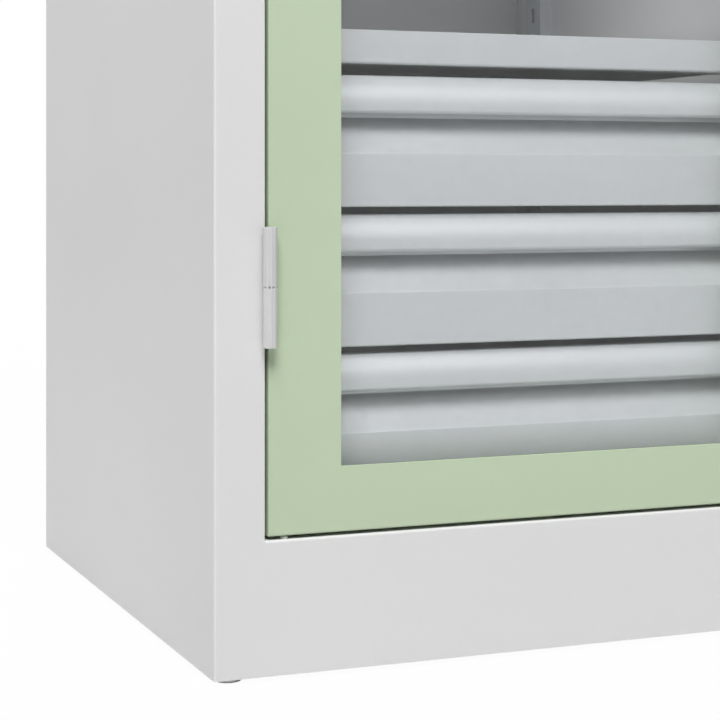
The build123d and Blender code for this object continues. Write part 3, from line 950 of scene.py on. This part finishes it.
@dataclass
class Shelving(Assembly):
    """Perforated uprights, shelves and the clips that carry them."""

    slot_height: float = 14 * MM
    slot_width: float = 6 * MM
    pitch: float = 25 * MM
    sheet: float = 1.5 * MM
    reach: float = 33 * MM
    width: float = 30 * MM
    partition_reach: float = 12 * MM
    side_face: float = 498.5 * MM
    partition_face: float = 14 * MM
    middles: tuple = (-178 * MM, 202 * MM)
    low: float = 108 * MM
    high: float = 1923.5 * MM
    first_slot: float = 20 * MM
    margin: float = 0.01 * MM
    edge: float = 0.4 * MM
    left_shelves: int = 3
    right_shelves: int = 4

    def upright(self, wall: float, inward: int, reach: float, middle: float) -> np.ndarray:
        """The outer skin of one upright: a U in plan, rows at every slot's ends.

        Args:
            wall: X of the wall behind it.
            inward: sign of X from the wall into the compartment.
            reach: how far its face stands off the wall.
            middle: Y of its middle.

        Returns:
            An array of shape (rows, columns, 3).
        """
        face = wall + inward * reach
        half, slot = self.width / 2, self.slot_width / 2
        plan = np.array(
            [
                (wall, middle - half),
                (face, middle - half),
                (face, middle - slot),
                (face, middle + slot),
                (face, middle + half),
                (wall, middle + half),
            ]
        )
        if inward < 0:
            plan = plan[::-1]
        count = int((self.high - self.low - self.first_slot) // self.pitch)
        middles = self.low + self.first_slot + np.arange(count) * self.pitch
        ends = np.stack([middles - self.slot_height / 2, middles + self.slot_height / 2], axis=1)
        levels = np.concatenate([[self.low], ends.ravel(), [self.high]])
        grid = np.empty((len(levels), len(plan), 3))
        grid[:, :, :2] = plan
        grid[:, :, 2] = levels[:, None]
        return grid

    def solid(self, centres: np.ndarray) -> np.ndarray:
        """Which faces stay: all but those inside a slot of a face.

        Args:
            centres: the middle of each face.

        Returns:
            True where the face stays.
        """
        offset = (centres[:, 2] - self.low - self.first_slot + self.pitch / 2) % self.pitch
        in_row = np.abs(offset - self.pitch / 2) < self.slot_height / 2 - self.margin
        nearest = np.min(np.abs(centres[:, 1:2] - np.array(self.middles)), axis=1)
        above = centres[:, 2] > self.low + self.first_slot - self.slot_height
        below = centres[:, 2] < self.high - self.pitch / 2
        return ~(in_row & (nearest < self.slot_width / 4) & above & below)

    def build(self) -> None:
        """Make the perforated uprights in place of the coarser CAD ones."""
        walls = (
            (-self.side_face, 1, self.reach),
            (-self.partition_face, -1, self.partition_reach),
            (self.partition_face, 1, self.partition_reach),
            (self.side_face, -1, self.reach),
        )
        grids = [
            self.upright(wall, inward, reach, middle)
            for wall, inward, reach in walls
            for middle in self.middles
        ]
        strip = skin("perforated_uprights", grids, wrap_columns=False, keep=self.solid)
        strip.data.shade_flat()
        wall = strip.modifiers.new("sheet", "SOLIDIFY")
        wall.thickness = self.sheet
        wall.offset = -1
        self.adopt(strip, "cabinet", "galvanised", "slotted_uprights")

    def dress(self) -> None:
        """Soften the shelves and give the clips their finish."""
        for hand, count in ((Hand.LEFT, self.left_shelves), (Hand.RIGHT, self.right_shelves)):
            for number in range(1, count + 1):
                self.edges.soften(f"{hand.word}_shelf_{number}", "galvanised", self.edge)
        self.edges.plain("shelf_clips", "galvanised")
        self.edges.plain("drawer_carriers", "galvanised")


@dataclass
class Drawers(Assembly):
    """The stack of three roll-grip drawers on their slides."""

    count: int = 3
    sheet: float = 1 * MM
    flange: float = 12 * MM
    bend: float = 1.4 * MM
    flat: float = 38.4 * MM
    recess: float = 16 * MM
    recess_top: float = 64.5 * MM
    recess_bend: float = 0.8 * MM
    corner: float = 0.6 * MM
    roll_radius: float = 44 * MM
    roll_high: float = 28.0
    roll_low: float = -4.0
    brow: float = 1.4 * MM
    lower_bend: float = 3 * MM
    hem: float = 1.5 * MM
    hem_turn: float = 80.0
    tray_edge: float = 0.25 * MM

    def section(self, front: float, low: float, high: float) -> tuple[np.ndarray, np.ndarray]:
        """The folded section of a front in (Y, Z), from the foot flange to the hem.

        Foot flange, flat, sloping recess, its rear wall and the top, then the grip: a tight
        brow, an arc of one large radius from roll_high to roll_low degrees of upward tilt,
        a lower bend and a hem that turns inside.

        Args:
            front: Y of the front face.
            low: Z of the lower edge.
            high: Z of the upper edge.

        Returns:
            The sheet's two faces.
        """
        rise = self.recess_top - self.flat
        tilt = np.degrees(np.arctan2(self.recess, rise))
        half = np.tan(np.radians(tilt / 2))
        slope = np.hypot(self.recess, rise) - half * (self.bend + self.recess_bend)
        wall = high - self.sheet - low - self.recess_top - half * self.recess_bend - self.corner
        inner = self.roll_radius - self.sheet
        brow = self.brow - self.sheet
        top = np.radians(self.roll_high)
        brow_y = front + self.sheet + inner - (inner - brow) * np.cos(top)
        forward = front + self.recess - self.corner - brow_y
        line = FoldLine((front + self.flange, low), 180)
        line.ahead(self.flange - self.bend).bend(self.bend, -90)
        line.ahead(self.flat - self.bend * (1 + half)).bend(self.bend, -tilt)
        line.ahead(slope).bend(self.recess_bend, tilt)
        line.ahead(wall).bend(self.corner, 90)
        line.ahead(forward).bend(brow, 90 - self.roll_high)
        line.bend(inner, self.roll_high - self.roll_low)
        line.bend(self.lower_bend - self.sheet, 90 + self.roll_low)
        line.ahead(self.hem).bend(self.hem, self.hem_turn)
        return line.faces(self.sheet)

    def front(self, number: int) -> None:
        """One front: its section carried along X, a four-sided tube closed at both ends.

        Args:
            number: which drawer, counted from the lowest.
        """
        node = f"drawer_{number}_front"
        low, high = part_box(node)
        near, far = self.section(low[1], low[2], high[2])
        sides = np.array([low[0], high[0], high[0], low[0]])
        plane = np.stack([near, near, far, far], axis=1)
        across = np.broadcast_to(sides[None, :, None], (len(near), 4, 1))
        grid = np.concatenate([across, plane], axis=2)
        ends = [np.broadcast_to(row.mean(axis=0), row.shape)[None] for row in (grid[0], grid[-1])]
        piece = skin(f"drawer_{number}_grip_front", [np.concatenate([ends[0], grid, ends[1]])])
        self.adopt(piece, f"drawer_{number}", "galvanised", node)

    def dress(self) -> None:
        """Make the fronts, soften the trays and finish the slide members."""
        for number in range(1, self.count + 1):
            self.front(number)
            self.edges.soften(f"drawer_{number}_tray", "galvanised", self.tray_edge)
            self.edges.plain(f"drawer_{number}_middle_slides", "slide_steel")
            self.edges.plain(f"drawer_{number}_runners", "slide_steel")
        self.edges.plain("slide_rails", "slide_steel")


@dataclass
class WindowDoor(Assembly):
    """One inset door: skin, liner, seal and pane."""

    hand: Hand = Hand.LEFT
    seal_width: float = 8 * MM
    edge: float = 0.35 * MM
    round_steps: int = 9

    def dress(self) -> None:
        """Soften the skin and the liner, and finish the pane."""
        word = self.hand.word
        self.edges.soften(f"{word}_door_panel", "door_paint", self.edge)
        self.edges.soften(f"{word}_door_liner", "door_paint", self.edge)
        self.edges.plain(f"{word}_door_pane", "window")

    def build(self) -> None:
        """Carry the seal's section round the window: two flat faces and two half rounds."""
        node = f"{self.hand.word}_door_gasket"
        low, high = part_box(node)
        thickness = high[1] - low[1]
        middle = (low[1] + high[1]) / 2
        radius = thickness / 2
        inner = arc((radius - self.seal_width, middle), radius, 90, 270, self.round_steps)
        outer = arc((-radius, middle), radius, -90, 90, self.round_steps)
        grid = framed(np.concatenate([inner, outer]), (low[0], low[2]), (high[0], high[2]))
        piece = skin(f"{self.hand.word}_window_seal", [grid], wrap_rows=True)
        self.adopt(piece, f"{self.hand.word}_door", "seal", node)


@dataclass
class BarrelHinges(Assembly):
    """Reeded hinge barrels with their leaves, and the pins inside."""

    radius: float = 5 * MM
    bore: float = 3.05 * MM
    height: float = 41 * MM
    gap: float = 0.05 * MM
    reeds: int = 10
    columns: int = 160
    edge: float = 0.12 * MM
    first_valley: float = 30 * TAU / 360
    valley_width: float = 3.2 * TAU / 360
    valley_depth: float = 0.24 * MM
    crown_drop: float = 0.12 * MM
    pit_depth: float = 1.75 * MM
    pit_width: float = 7.0 * TAU / 360
    pit_reach: float = 0.55 * MM
    pit_lead: float = 1.6
    pit_power: int = 4
    end_rows: tuple = (0.3 * MM, 0.7 * MM, 1.2 * MM)
    x: float = 462.2 * MM
    y: float = -243.8 * MM
    heights: tuple = (268 * MM, 975 * MM, 1682 * MM)
    leaf: float = 2 * MM
    leaf_height: float = 34 * MM
    leaf_depth: float = 17 * MM
    leaf_seat: float = 0.72
    leaf_edge: float = 0.12
    jamb: float = 464 * MM
    door_edge: float = 461.2 * MM
    crisp: float = 28.0

    def barrel(self, low: float, high: float, split: float) -> np.ndarray:
        """One bored barrel, a closed tube whose outside is reeded.

        Rows follow the wall's section all the way round: bore, end, chamfer, outside,
        chamfer, end. Outside, the radius at angle a is the barrel's less a narrow valley
        between each two reeds, valley_depth times exp(-(angle from the valley /
        valley_width) squared) deep, and less a rounding of the reed, crown_drop times the
        square of a line from 0 on its crown to 1 in the valley. Where two barrels meet the
        valleys open into small steep pits, pit_depth times exp(-(angle from the valley /
        pit_width) to the pit_power) deep, full near the split and fading out over pit_reach.

        Args:
            low: height of the lower end.
            high: height of the upper end.
            split: height at which it meets the other barrel.

        Returns:
            An array of shape (rows, columns, 3), its last row the first again.
        """
        edge = self.edge
        rows = [(self.bore, low), (self.radius - edge, low), (self.radius, low + edge)]
        rows += [(self.radius, low + edge + step) for step in self.end_rows]
        rows += [(self.radius, high - edge - step) for step in self.end_rows[::-1]]
        rows += [(self.radius, high - edge), (self.radius - edge, high), (self.bore, high)]
        profile = np.array(rows)
        angle = np.arange(self.columns) * TAU / self.columns
        step = TAU / self.reeds
        from_valley = (angle - self.first_valley + step / 2) % step - step / 2
        valley = np.exp(-((from_valley / self.valley_width) ** 2))
        crown = 1 - np.abs(from_valley) / (step / 2)
        outside = (profile[:, :1] > self.bore).astype(float)
        ripple = -outside * (valley * self.valley_depth + crown**2 * self.crown_drop)
        by_split = np.clip(self.pit_lead - np.abs(profile[:, 1:] - split) / self.pit_reach, 0, 1)
        pit = np.exp(-((from_valley / self.pit_width) ** self.pit_power))
        ripple = ripple - by_split * outside * pit * self.pit_depth
        grid = spun(profile, self.columns, ripple)
        return np.concatenate([grid, grid[:1]])

    def knuckles(self, hand: Hand, upper: bool) -> list[np.ndarray]:
        """Barrels and leaves of one side's fixed or door knuckles.

        Args:
            hand: which door they carry.
            upper: True for the knuckles on the door.

        Returns:
            The grids of its surfaces.
        """
        grids = []
        sign = hand.value
        wall = sign * (self.door_edge if upper else self.jamb)
        inward = sign if upper else -sign
        for split in self.heights:
            far_end = split + (self.height if upper else -self.height)
            near_end = split + (self.gap / 2 if upper else -self.gap / 2)
            low, high = sorted((far_end, near_end))
            grids.append(moved(self.barrel(low, high, split), (sign * self.x, self.y, 0)))
            middle = (split + far_end) / 2
            near, far = sorted((wall, wall + inward * self.leaf))
            leaf_low = (near, self.y + self.radius * self.leaf_seat, middle - self.leaf_height / 2)
            leaf_high = (far, self.y + self.leaf_depth, middle + self.leaf_height / 2)
            grids.append(rounded_slab(leaf_low, leaf_high, self.leaf_edge))
        return grids

    def build(self) -> None:
        """Make fixed and door knuckles in place of the CAD ones."""
        fixed, lifted = [], {}
        for hand in Hand:
            fixed += self.knuckles(hand, False)
            lifted[hand] = self.knuckles(hand, True)
        piece = skin("hinge_barrels_fixed", fixed, smooth=self.crisp)
        self.adopt(piece, "cabinet", "hinge_steel", "frame_knuckles")
        for hand, grids in lifted.items():
            body = f"{hand.word}_door"
            piece = skin(f"hinge_barrels_{body}", grids, smooth=self.crisp)
            self.adopt(piece, body, "hinge_steel", f"{body}_knuckles")

    def dress(self) -> None:
        """Finish the pins."""
        self.edges.plain("hinge_pins", "zinc")


@dataclass
class Feet(Assembly):
    """Levelling feet: round discs on threaded studs, and the plates that hold them."""

    x: float = 486 * MM
    depths: tuple = (-224 * MM, 246.5 * MM)
    radius: float = 10 * MM
    rim: float = 0.8 * MM
    rim_rows: int = 9
    disc: float = 3 * MM
    disc_columns: int = 40
    stud: float = 5 * MM
    stud_columns: int = 24
    length: float = 24 * MM
    pitch: float = 1.5 * MM
    rows_to_pitch: int = 6
    groove: float = 0.8 * MM
    run_out: float = 1 / 12

    def disc_profile(self) -> np.ndarray:
        """The disc's section: a flat sole and top, joined by half an ellipse.

        Returns:
            An array of (radius, height).
        """
        angle = np.linspace(-np.pi / 2, np.pi / 2, self.rim_rows)
        radius = self.radius - self.rim + self.rim * np.cos(angle)
        height = self.disc / 2 + self.disc / 2 * np.sin(angle)
        rim = np.stack([radius, height], axis=1)
        return np.concatenate([[(0, 0)], rim, [(0, self.disc)]])

    def stud_surface(self) -> np.ndarray:
        """The threaded stud, whose radius follows a helix.

        The groove's depth is a triangle wave of the turns climbed less the share of a turn
        gone round, and fades over the run_out share of the length at both ends.

        Returns:
            An array of shape (rows, columns, 3).
        """
        turns = self.length / self.pitch
        height = np.linspace(0, 1, int(turns * self.rows_to_pitch) + 1)
        phase = height[:, None] * turns - np.arange(self.stud_columns) / self.stud_columns
        groove = np.abs((phase % 1) - 0.5) * 2
        fade = np.clip(np.minimum(height, 1 - height)[:, None] / self.run_out, 0, 1)
        wall = np.stack([np.full_like(height, self.stud), self.disc + height * self.length], axis=1)
        stud = np.concatenate([[(0, self.disc)], wall, [(0, self.disc + self.length)]])
        ripple = np.zeros((len(stud), self.stud_columns))
        ripple[1:-1] = -groove * fade * self.groove
        return spun(stud, self.stud_columns, ripple)

    def build(self) -> None:
        """Stand a disc and its stud at each corner."""
        shapes = (spun(self.disc_profile(), self.disc_columns), self.stud_surface())
        spots = [(x, y, 0) for x in (-self.x, self.x) for y in self.depths]
        grids = [moved(shape, spot) for spot in spots for shape in shapes]
        self.adopt(skin("threaded_feet", grids), "cabinet", "nylon", "levelling_feet")

    def dress(self) -> None:
        """Finish the tapped plates."""
        self.edges.plain("foot_plates", "zinc")


@dataclass
class Glides(Assembly):
    """Nylon domes on the plinth under the doors' lower corners."""

    places: tuple = (448.2 * MM, 14.5 * MM)
    y: float = -233 * MM
    low: float = 95.5 * MM
    high: float = 97.1 * MM
    radius: float = 2.75 * MM
    fullness: float = 0.6
    rows: int = 10
    columns: int = 28

    def build(self) -> None:
        """Quarter superellipses, spun: the cosine and sine of one angle, to the fullness."""
        angle = np.linspace(0, np.pi / 2, self.rows)
        radius = self.radius * np.cos(angle) ** self.fullness
        height = self.low + (self.high - self.low) * np.sin(angle) ** self.fullness
        dome = np.concatenate([[(0, self.low)], np.stack([radius, height], axis=1)])
        dome[-1, 0] = 0
        shape = spun(dome, self.columns)
        spots = [(hand.value * x, self.y, 0) for hand in Hand for x in self.places]
        grids = [moved(shape, spot) for spot in spots]
        self.adopt(skin("glide_domes", grids), "cabinet", "nylon", "door_glides")


@dataclass
class LeverHandle(Assembly):
    """The moulded lever: a hub round the key plug, an arm with a waist, and the rosette."""

    hub: float = 13 * MM
    hub_edge: float = 2.2 * MM
    rear: float = 250 * MM
    clearance: float = 0.12 * MM
    neck: float = 9.5 * MM
    neck_end: float = 242.3 * MM
    arm_start: float = 8.5 * MM
    arm_length: float = 105 * MM
    tip_length: float = 9 * MM
    tip_fullness: float = 0.7
    tip_rows: int = 10
    arm_rows: int = 30
    half_height: float = 7.7 * MM
    bell: float = 4 * MM
    bell_reach: float = 14 * MM
    swell: float = 1.2 * MM
    swell_start: float = 40 * MM
    swell_length: float = 50 * MM
    hollow: float = 0.9 * MM
    hollow_length: float = 70 * MM
    section: float = 0.6
    columns: int = 72
    lip: float = 0.4 * MM
    rosette_bore: float = 6.15 * MM
    rosette_edge: float = 1.4 * MM
    groove: float = 0.5 * MM
    groove_inset: float = 3 * MM

    def arm(self, axis: Sequence[float], front: float) -> np.ndarray:
        """The arm: superellipse sections of changing height and thickness along X.

        The half height is half_height plus a bell curve at the hub and a smooth swell
        towards the tip. The thickness dips by a squared sine over the hollow's length. Both
        close over the tip's length by the cosine of a quarter turn to the tip_fullness.

        Args:
            axis: X and Z of the turning axis.
            front: distance of the front face from the cabinet's middle plane.

        Returns:
            An array of shape (rows, columns, 3).
        """
        straight = np.linspace(self.arm_start, self.arm_length - self.tip_length, self.arm_rows)
        bow = np.linspace(0, np.pi / 2, self.tip_rows)[1:]
        tip = straight[-1] + self.tip_length * np.sin(bow)
        reach = np.concatenate([straight[:1], straight, tip])
        close = np.concatenate([[0], np.ones(len(straight)), np.cos(bow) ** self.tip_fullness])
        bell = self.bell * np.exp(-(((reach - self.arm_start) / self.bell_reach) ** 2))
        rise = np.clip((reach - self.swell_start) / self.swell_length, 0, 1)
        swell = self.swell * rise**2 * (3 - 2 * rise)
        tall = (self.half_height + bell + swell) * close
        dip = np.sin(np.pi * np.clip(reach / self.hollow_length, 0, 1)) ** 2
        thick = ((front - self.rear) / 2 - self.hollow * dip) * close
        angle = np.arange(self.columns) * TAU / self.columns
        wave = signed_power(np.cos(angle), self.section)
        swing = signed_power(np.sin(angle), self.section)
        x = np.broadcast_to(axis[0] + reach[:, None], (len(reach), self.columns))
        y = -(front + self.rear) / 2 + thick[:, None] * wave
        z = axis[1] + tall[:, None] * swing
        return np.stack([x, y, z], axis=-1)

    def build(self) -> None:
        """Make the lever and the rosette round the axis of the key plug."""
        low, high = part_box("key_plug")
        axis = ((low[0] + high[0]) / 2, (low[2] + high[2]) / 2)
        front, bottom = -low[1], -high[1]
        bore = (high[0] - low[0]) / 2 + self.clearance
        lip, edge = self.lip, self.hub_edge
        hub = [(0, bottom), (bore, bottom), (bore, front - lip), (bore + lip, front)]
        hub += arc((self.hub - edge, front - edge), edge, 90, 0).tolist()
        hub += arc((self.hub - lip, self.rear + lip), lip, 0, -90, 4).tolist()
        hub += [(self.neck, self.rear), (self.neck, self.neck_end), (0, self.neck_end)]
        grids = [turned(hub, self.columns, axis), self.arm(axis, front)]
        self.adopt(skin("lever_moulding", grids), "handle", "handle_black", "handle_lever")
        low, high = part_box("handle_rosette")
        radius, face, seat = (high[0] - low[0]) / 2, -low[1], -high[1]
        bore, edge = self.rosette_bore, self.rosette_edge
        ring = [(bore, seat), (radius, seat)]
        ring += arc((radius - edge, face - edge), edge, 0, 90).tolist()
        ring += arc((radius - self.groove_inset, face), self.groove, 0, -180, 5).tolist()
        ring += [(bore, face), (bore, seat)]
        rosette = skin("rosette_moulding", [turned(ring, self.columns, axis)])
        self.adopt(rosette, "right_door", "handle_black", "handle_rosette")


@dataclass
class RodLock(Assembly):
    """Key plug, the rods, cam and guides inside the right door, and the catch magnets."""

    plug_edge: float = 0.25 * MM
    rod_edge: float = 0.2 * MM
    magnet_edge: float = 0.4 * MM
    rods: tuple = ("lock_cam", "upper_rod", "lower_rod", "lock_case", "rod_guides", "rod_strikes")

    def dress(self) -> None:
        """Soften what shows and finish the inner parts."""
        self.edges.soften("key_plug", "zinc", self.plug_edge)
        for node in self.rods:
            self.edges.soften(node, "zinc", self.rod_edge)
        self.edges.plain("handle_spindle", "zinc")
        self.edges.soften("catch_magnets", "magnet", self.magnet_edge)


# Studio and camera


# The point low on the front left, in metres, that the front lamps face.
NEAR_CORNER = (-0.2, -0.2, 0.3)


@dataclass(frozen=True)
class Lamp:
    """A square area lamp: where it hangs, the point it faces, its side and its watts."""

    name: str
    place: tuple
    aim: tuple
    side: float
    power: float

    def hang(self) -> None:
        """Add the lamp to the scene, turned to its point."""
        data = bpy.data.lights.new(self.name, "AREA")
        data.shape = "SQUARE"
        data.size = self.side
        data.energy = self.power
        lamp = bpy.data.objects.new(self.name, data)
        lamp.location = self.place
        heading = Vector(self.aim) - Vector(self.place)
        lamp.rotation_euler = heading.to_track_quat("-Z", "Y").to_euler()
        bpy.context.scene.collection.objects.link(lamp)


@dataclass
class Studio:
    """Pale floor, white surround, soft lamps and the photograph's camera."""

    focal: float = 92.73
    shift: tuple = (0.0667, -0.2484)
    eye: tuple = (-0.8882, -1.4248, 0.340)
    turn: float = -21.13
    sensor: float = 36
    clip: tuple = (0.05, 100)
    floor_reach: float = 30.0
    floor_drop: float = 0.2 * MM
    floor_tone: float = 0.56
    near_white: float = 0.97
    fade: tuple = (1.2, 4.0)
    floor_gloss: float = 0.2
    sky_gloss: tuple = (0.64, 0.26)
    sky_rise: tuple = (0.35, 0.75)
    world_level: float = 0.03
    lamps: tuple = (
        Lamp("key", (-2.2, -4.6, 7.8), NEAR_CORNER, 4.0, 925.0),
        Lamp("band", (2.0, -5.6, 3.2), NEAR_CORNER, 2.6, 28.0),
        Lamp("left", (-4.2, 0.6, 1.3), (-0.5, 0, 0.5), 2.4, 28.0),
        Lamp("left_high", (-2.7, 0.9, 2.6), (-0.5, 0, 0.9), 1.8, 15.0),
        Lamp("right", (4.2, 0.6, 1.8), (0.5, 0, 0.9), 2.4, 42.0),
        Lamp("rear", (1.4, 4.2, 2.0), (0, 0.25, 0.9), 2.0, 90.0),
    )

    def floor(self) -> None:
        """A wide pale floor, white to the eye far off, with a faint shadow near the feet."""
        reach, low = self.floor_reach, -self.floor_drop
        signs = ((-1, -1), (1, -1), (1, 1), (-1, 1))
        square = [(x * reach, y * reach, low) for x, y in signs]
        mesh = bpy.data.meshes.new("floor")
        mesh.from_pydata(square, [], [(0, 1, 2, 3)])
        ground = bpy.data.objects.new("floor", mesh)
        bpy.context.scene.collection.objects.link(ground)
        recipe = Recipe("floor_paper")
        recipe.finish(Base_Color=(*[self.floor_tone] * 3, 1), Roughness=0.9)
        rays = recipe.add("ShaderNodeLightPath", {}, {}, "Is Camera Ray")
        glossy = recipe.add("ShaderNodeLightPath", {}, {}, "Is Glossy Ray")
        clear = recipe.add("ShaderNodeLightPath", {}, {}, "Is Transmission Ray")
        length = {"operation": "LENGTH"}
        distance = recipe.add("ShaderNodeVectorMath", length, {0: recipe.place()}, "Value")
        far = distance.ramp(*self.fade) * (1 - self.near_white) + self.near_white
        seen = (rays + clear).ramp(0.0, 1.0) * far + glossy * self.floor_gloss
        glow = recipe.add("ShaderNodeEmission", {}, {"Color": (1, 1, 1, 1), "Strength": 1.0})
        mixed = recipe.add("ShaderNodeMixShader", {}, {0: seen, 2: glow})
        recipe.tree.links.new(recipe.shader.outputs[0], mixed.socket.node.inputs[1])
        recipe.tree.links.new(mixed.socket, recipe.output.inputs["Surface"])
        mesh.materials.append(recipe.material)

    def surround(self) -> None:
        """A white world: full white to the eye, dimmer in gloss with height, and faint as light.

        To a glossy ray the strength is the horizon's, falling smoothly to the high sky's
        between two values of the ray's rise.
        """
        world = bpy.data.worlds.new("white_surround")
        world.use_nodes = True
        nodes, links = world.node_tree.nodes, world.node_tree.links
        nodes.clear()
        coordinates = nodes.new("ShaderNodeTexCoord")
        rise = nodes.new("ShaderNodeSeparateXYZ")
        sky = nodes.new("ShaderNodeMapRange")
        sky.interpolation_type = "SMOOTHSTEP"
        links.new(coordinates.outputs["Generated"], rise.inputs[0])
        links.new(rise.outputs["Z"], sky.inputs["Value"])
        limits = ("From Min", "From Max", "To Min", "To Max")
        for name, value in zip(limits, self.sky_rise + self.sky_gloss):
            sky.inputs[name].default_value = value
        path = nodes.new("ShaderNodeLightPath")
        background = nodes.new("ShaderNodeBackground")
        background.inputs["Color"].default_value = (1, 1, 1, 1)
        shares = {
            "Is Camera Ray": 1.0,
            "Is Transmission Ray": 1.0,
            "Is Diffuse Ray": self.world_level,
            "Is Glossy Ray": sky.outputs["Result"],
        }
        strength = None
        for ray, share in shares.items():
            part = nodes.new("ShaderNodeMath")
            part.operation = "MULTIPLY"
            links.new(path.outputs[ray], part.inputs[0])
            if isinstance(share, float):
                part.inputs[1].default_value = share
            else:
                links.new(share, part.inputs[1])
            if strength is not None:
                total = nodes.new("ShaderNodeMath")
                total.operation = "MAXIMUM"
                links.new(strength, total.inputs[0])
                links.new(part.outputs[0], total.inputs[1])
                part = total
            strength = part.outputs[0]
        links.new(strength, background.inputs["Strength"])
        output = nodes.new("ShaderNodeOutputWorld")
        links.new(background.outputs[0], output.inputs["Surface"])
        bpy.context.scene.world = world

    def camera(self) -> None:
        """The photograph's camera: level, from the front left, shifted onto the corner."""
        data = bpy.data.cameras.new("camera")
        data.sensor_width = self.sensor
        data.lens = self.focal
        data.shift_x, data.shift_y = self.shift
        data.clip_start, data.clip_end = self.clip
        camera = bpy.data.objects.new("camera", data)
        camera.location = self.eye
        camera.rotation_euler = (np.pi / 2, 0, np.radians(self.turn))
        bpy.context.scene.collection.objects.link(camera)
        bpy.context.scene.camera = camera

    def build(self) -> None:
        """Set the floor, the surround, the lamps and the camera."""
        self.floor()
        self.surround()
        for lamp in self.lamps:
            lamp.hang()
        self.camera()
        bpy.context.scene.view_settings.view_transform = "Standard"


def corners(box: Any) -> list[list[float]]:
    """A box's two corners as plain lists."""
    return [[float(value) for value in corner] for corner in box]


def main() -> None:
    """Load the part, build and dress each sub-assembly, and set the studio."""
    logging.basicConfig(level=logging.INFO, format="%(name)s: %(message)s")
    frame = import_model()
    edges = SheetEdges(Palette(), frame["nodes"])
    assemblies = (
        Carcass(edges),
        Shelving(edges),
        Drawers(edges),
        WindowDoor(edges, Hand.LEFT),
        WindowDoor(edges, Hand.RIGHT),
        BarrelHinges(edges),
        Feet(edges),
        Glides(edges),
        LeverHandle(edges),
        RodLock(edges),
    )
    for assembly in assemblies:
        assembly.build()
        assembly.dress()
    Studio().build()


if __name__ == "__main__":
    main()
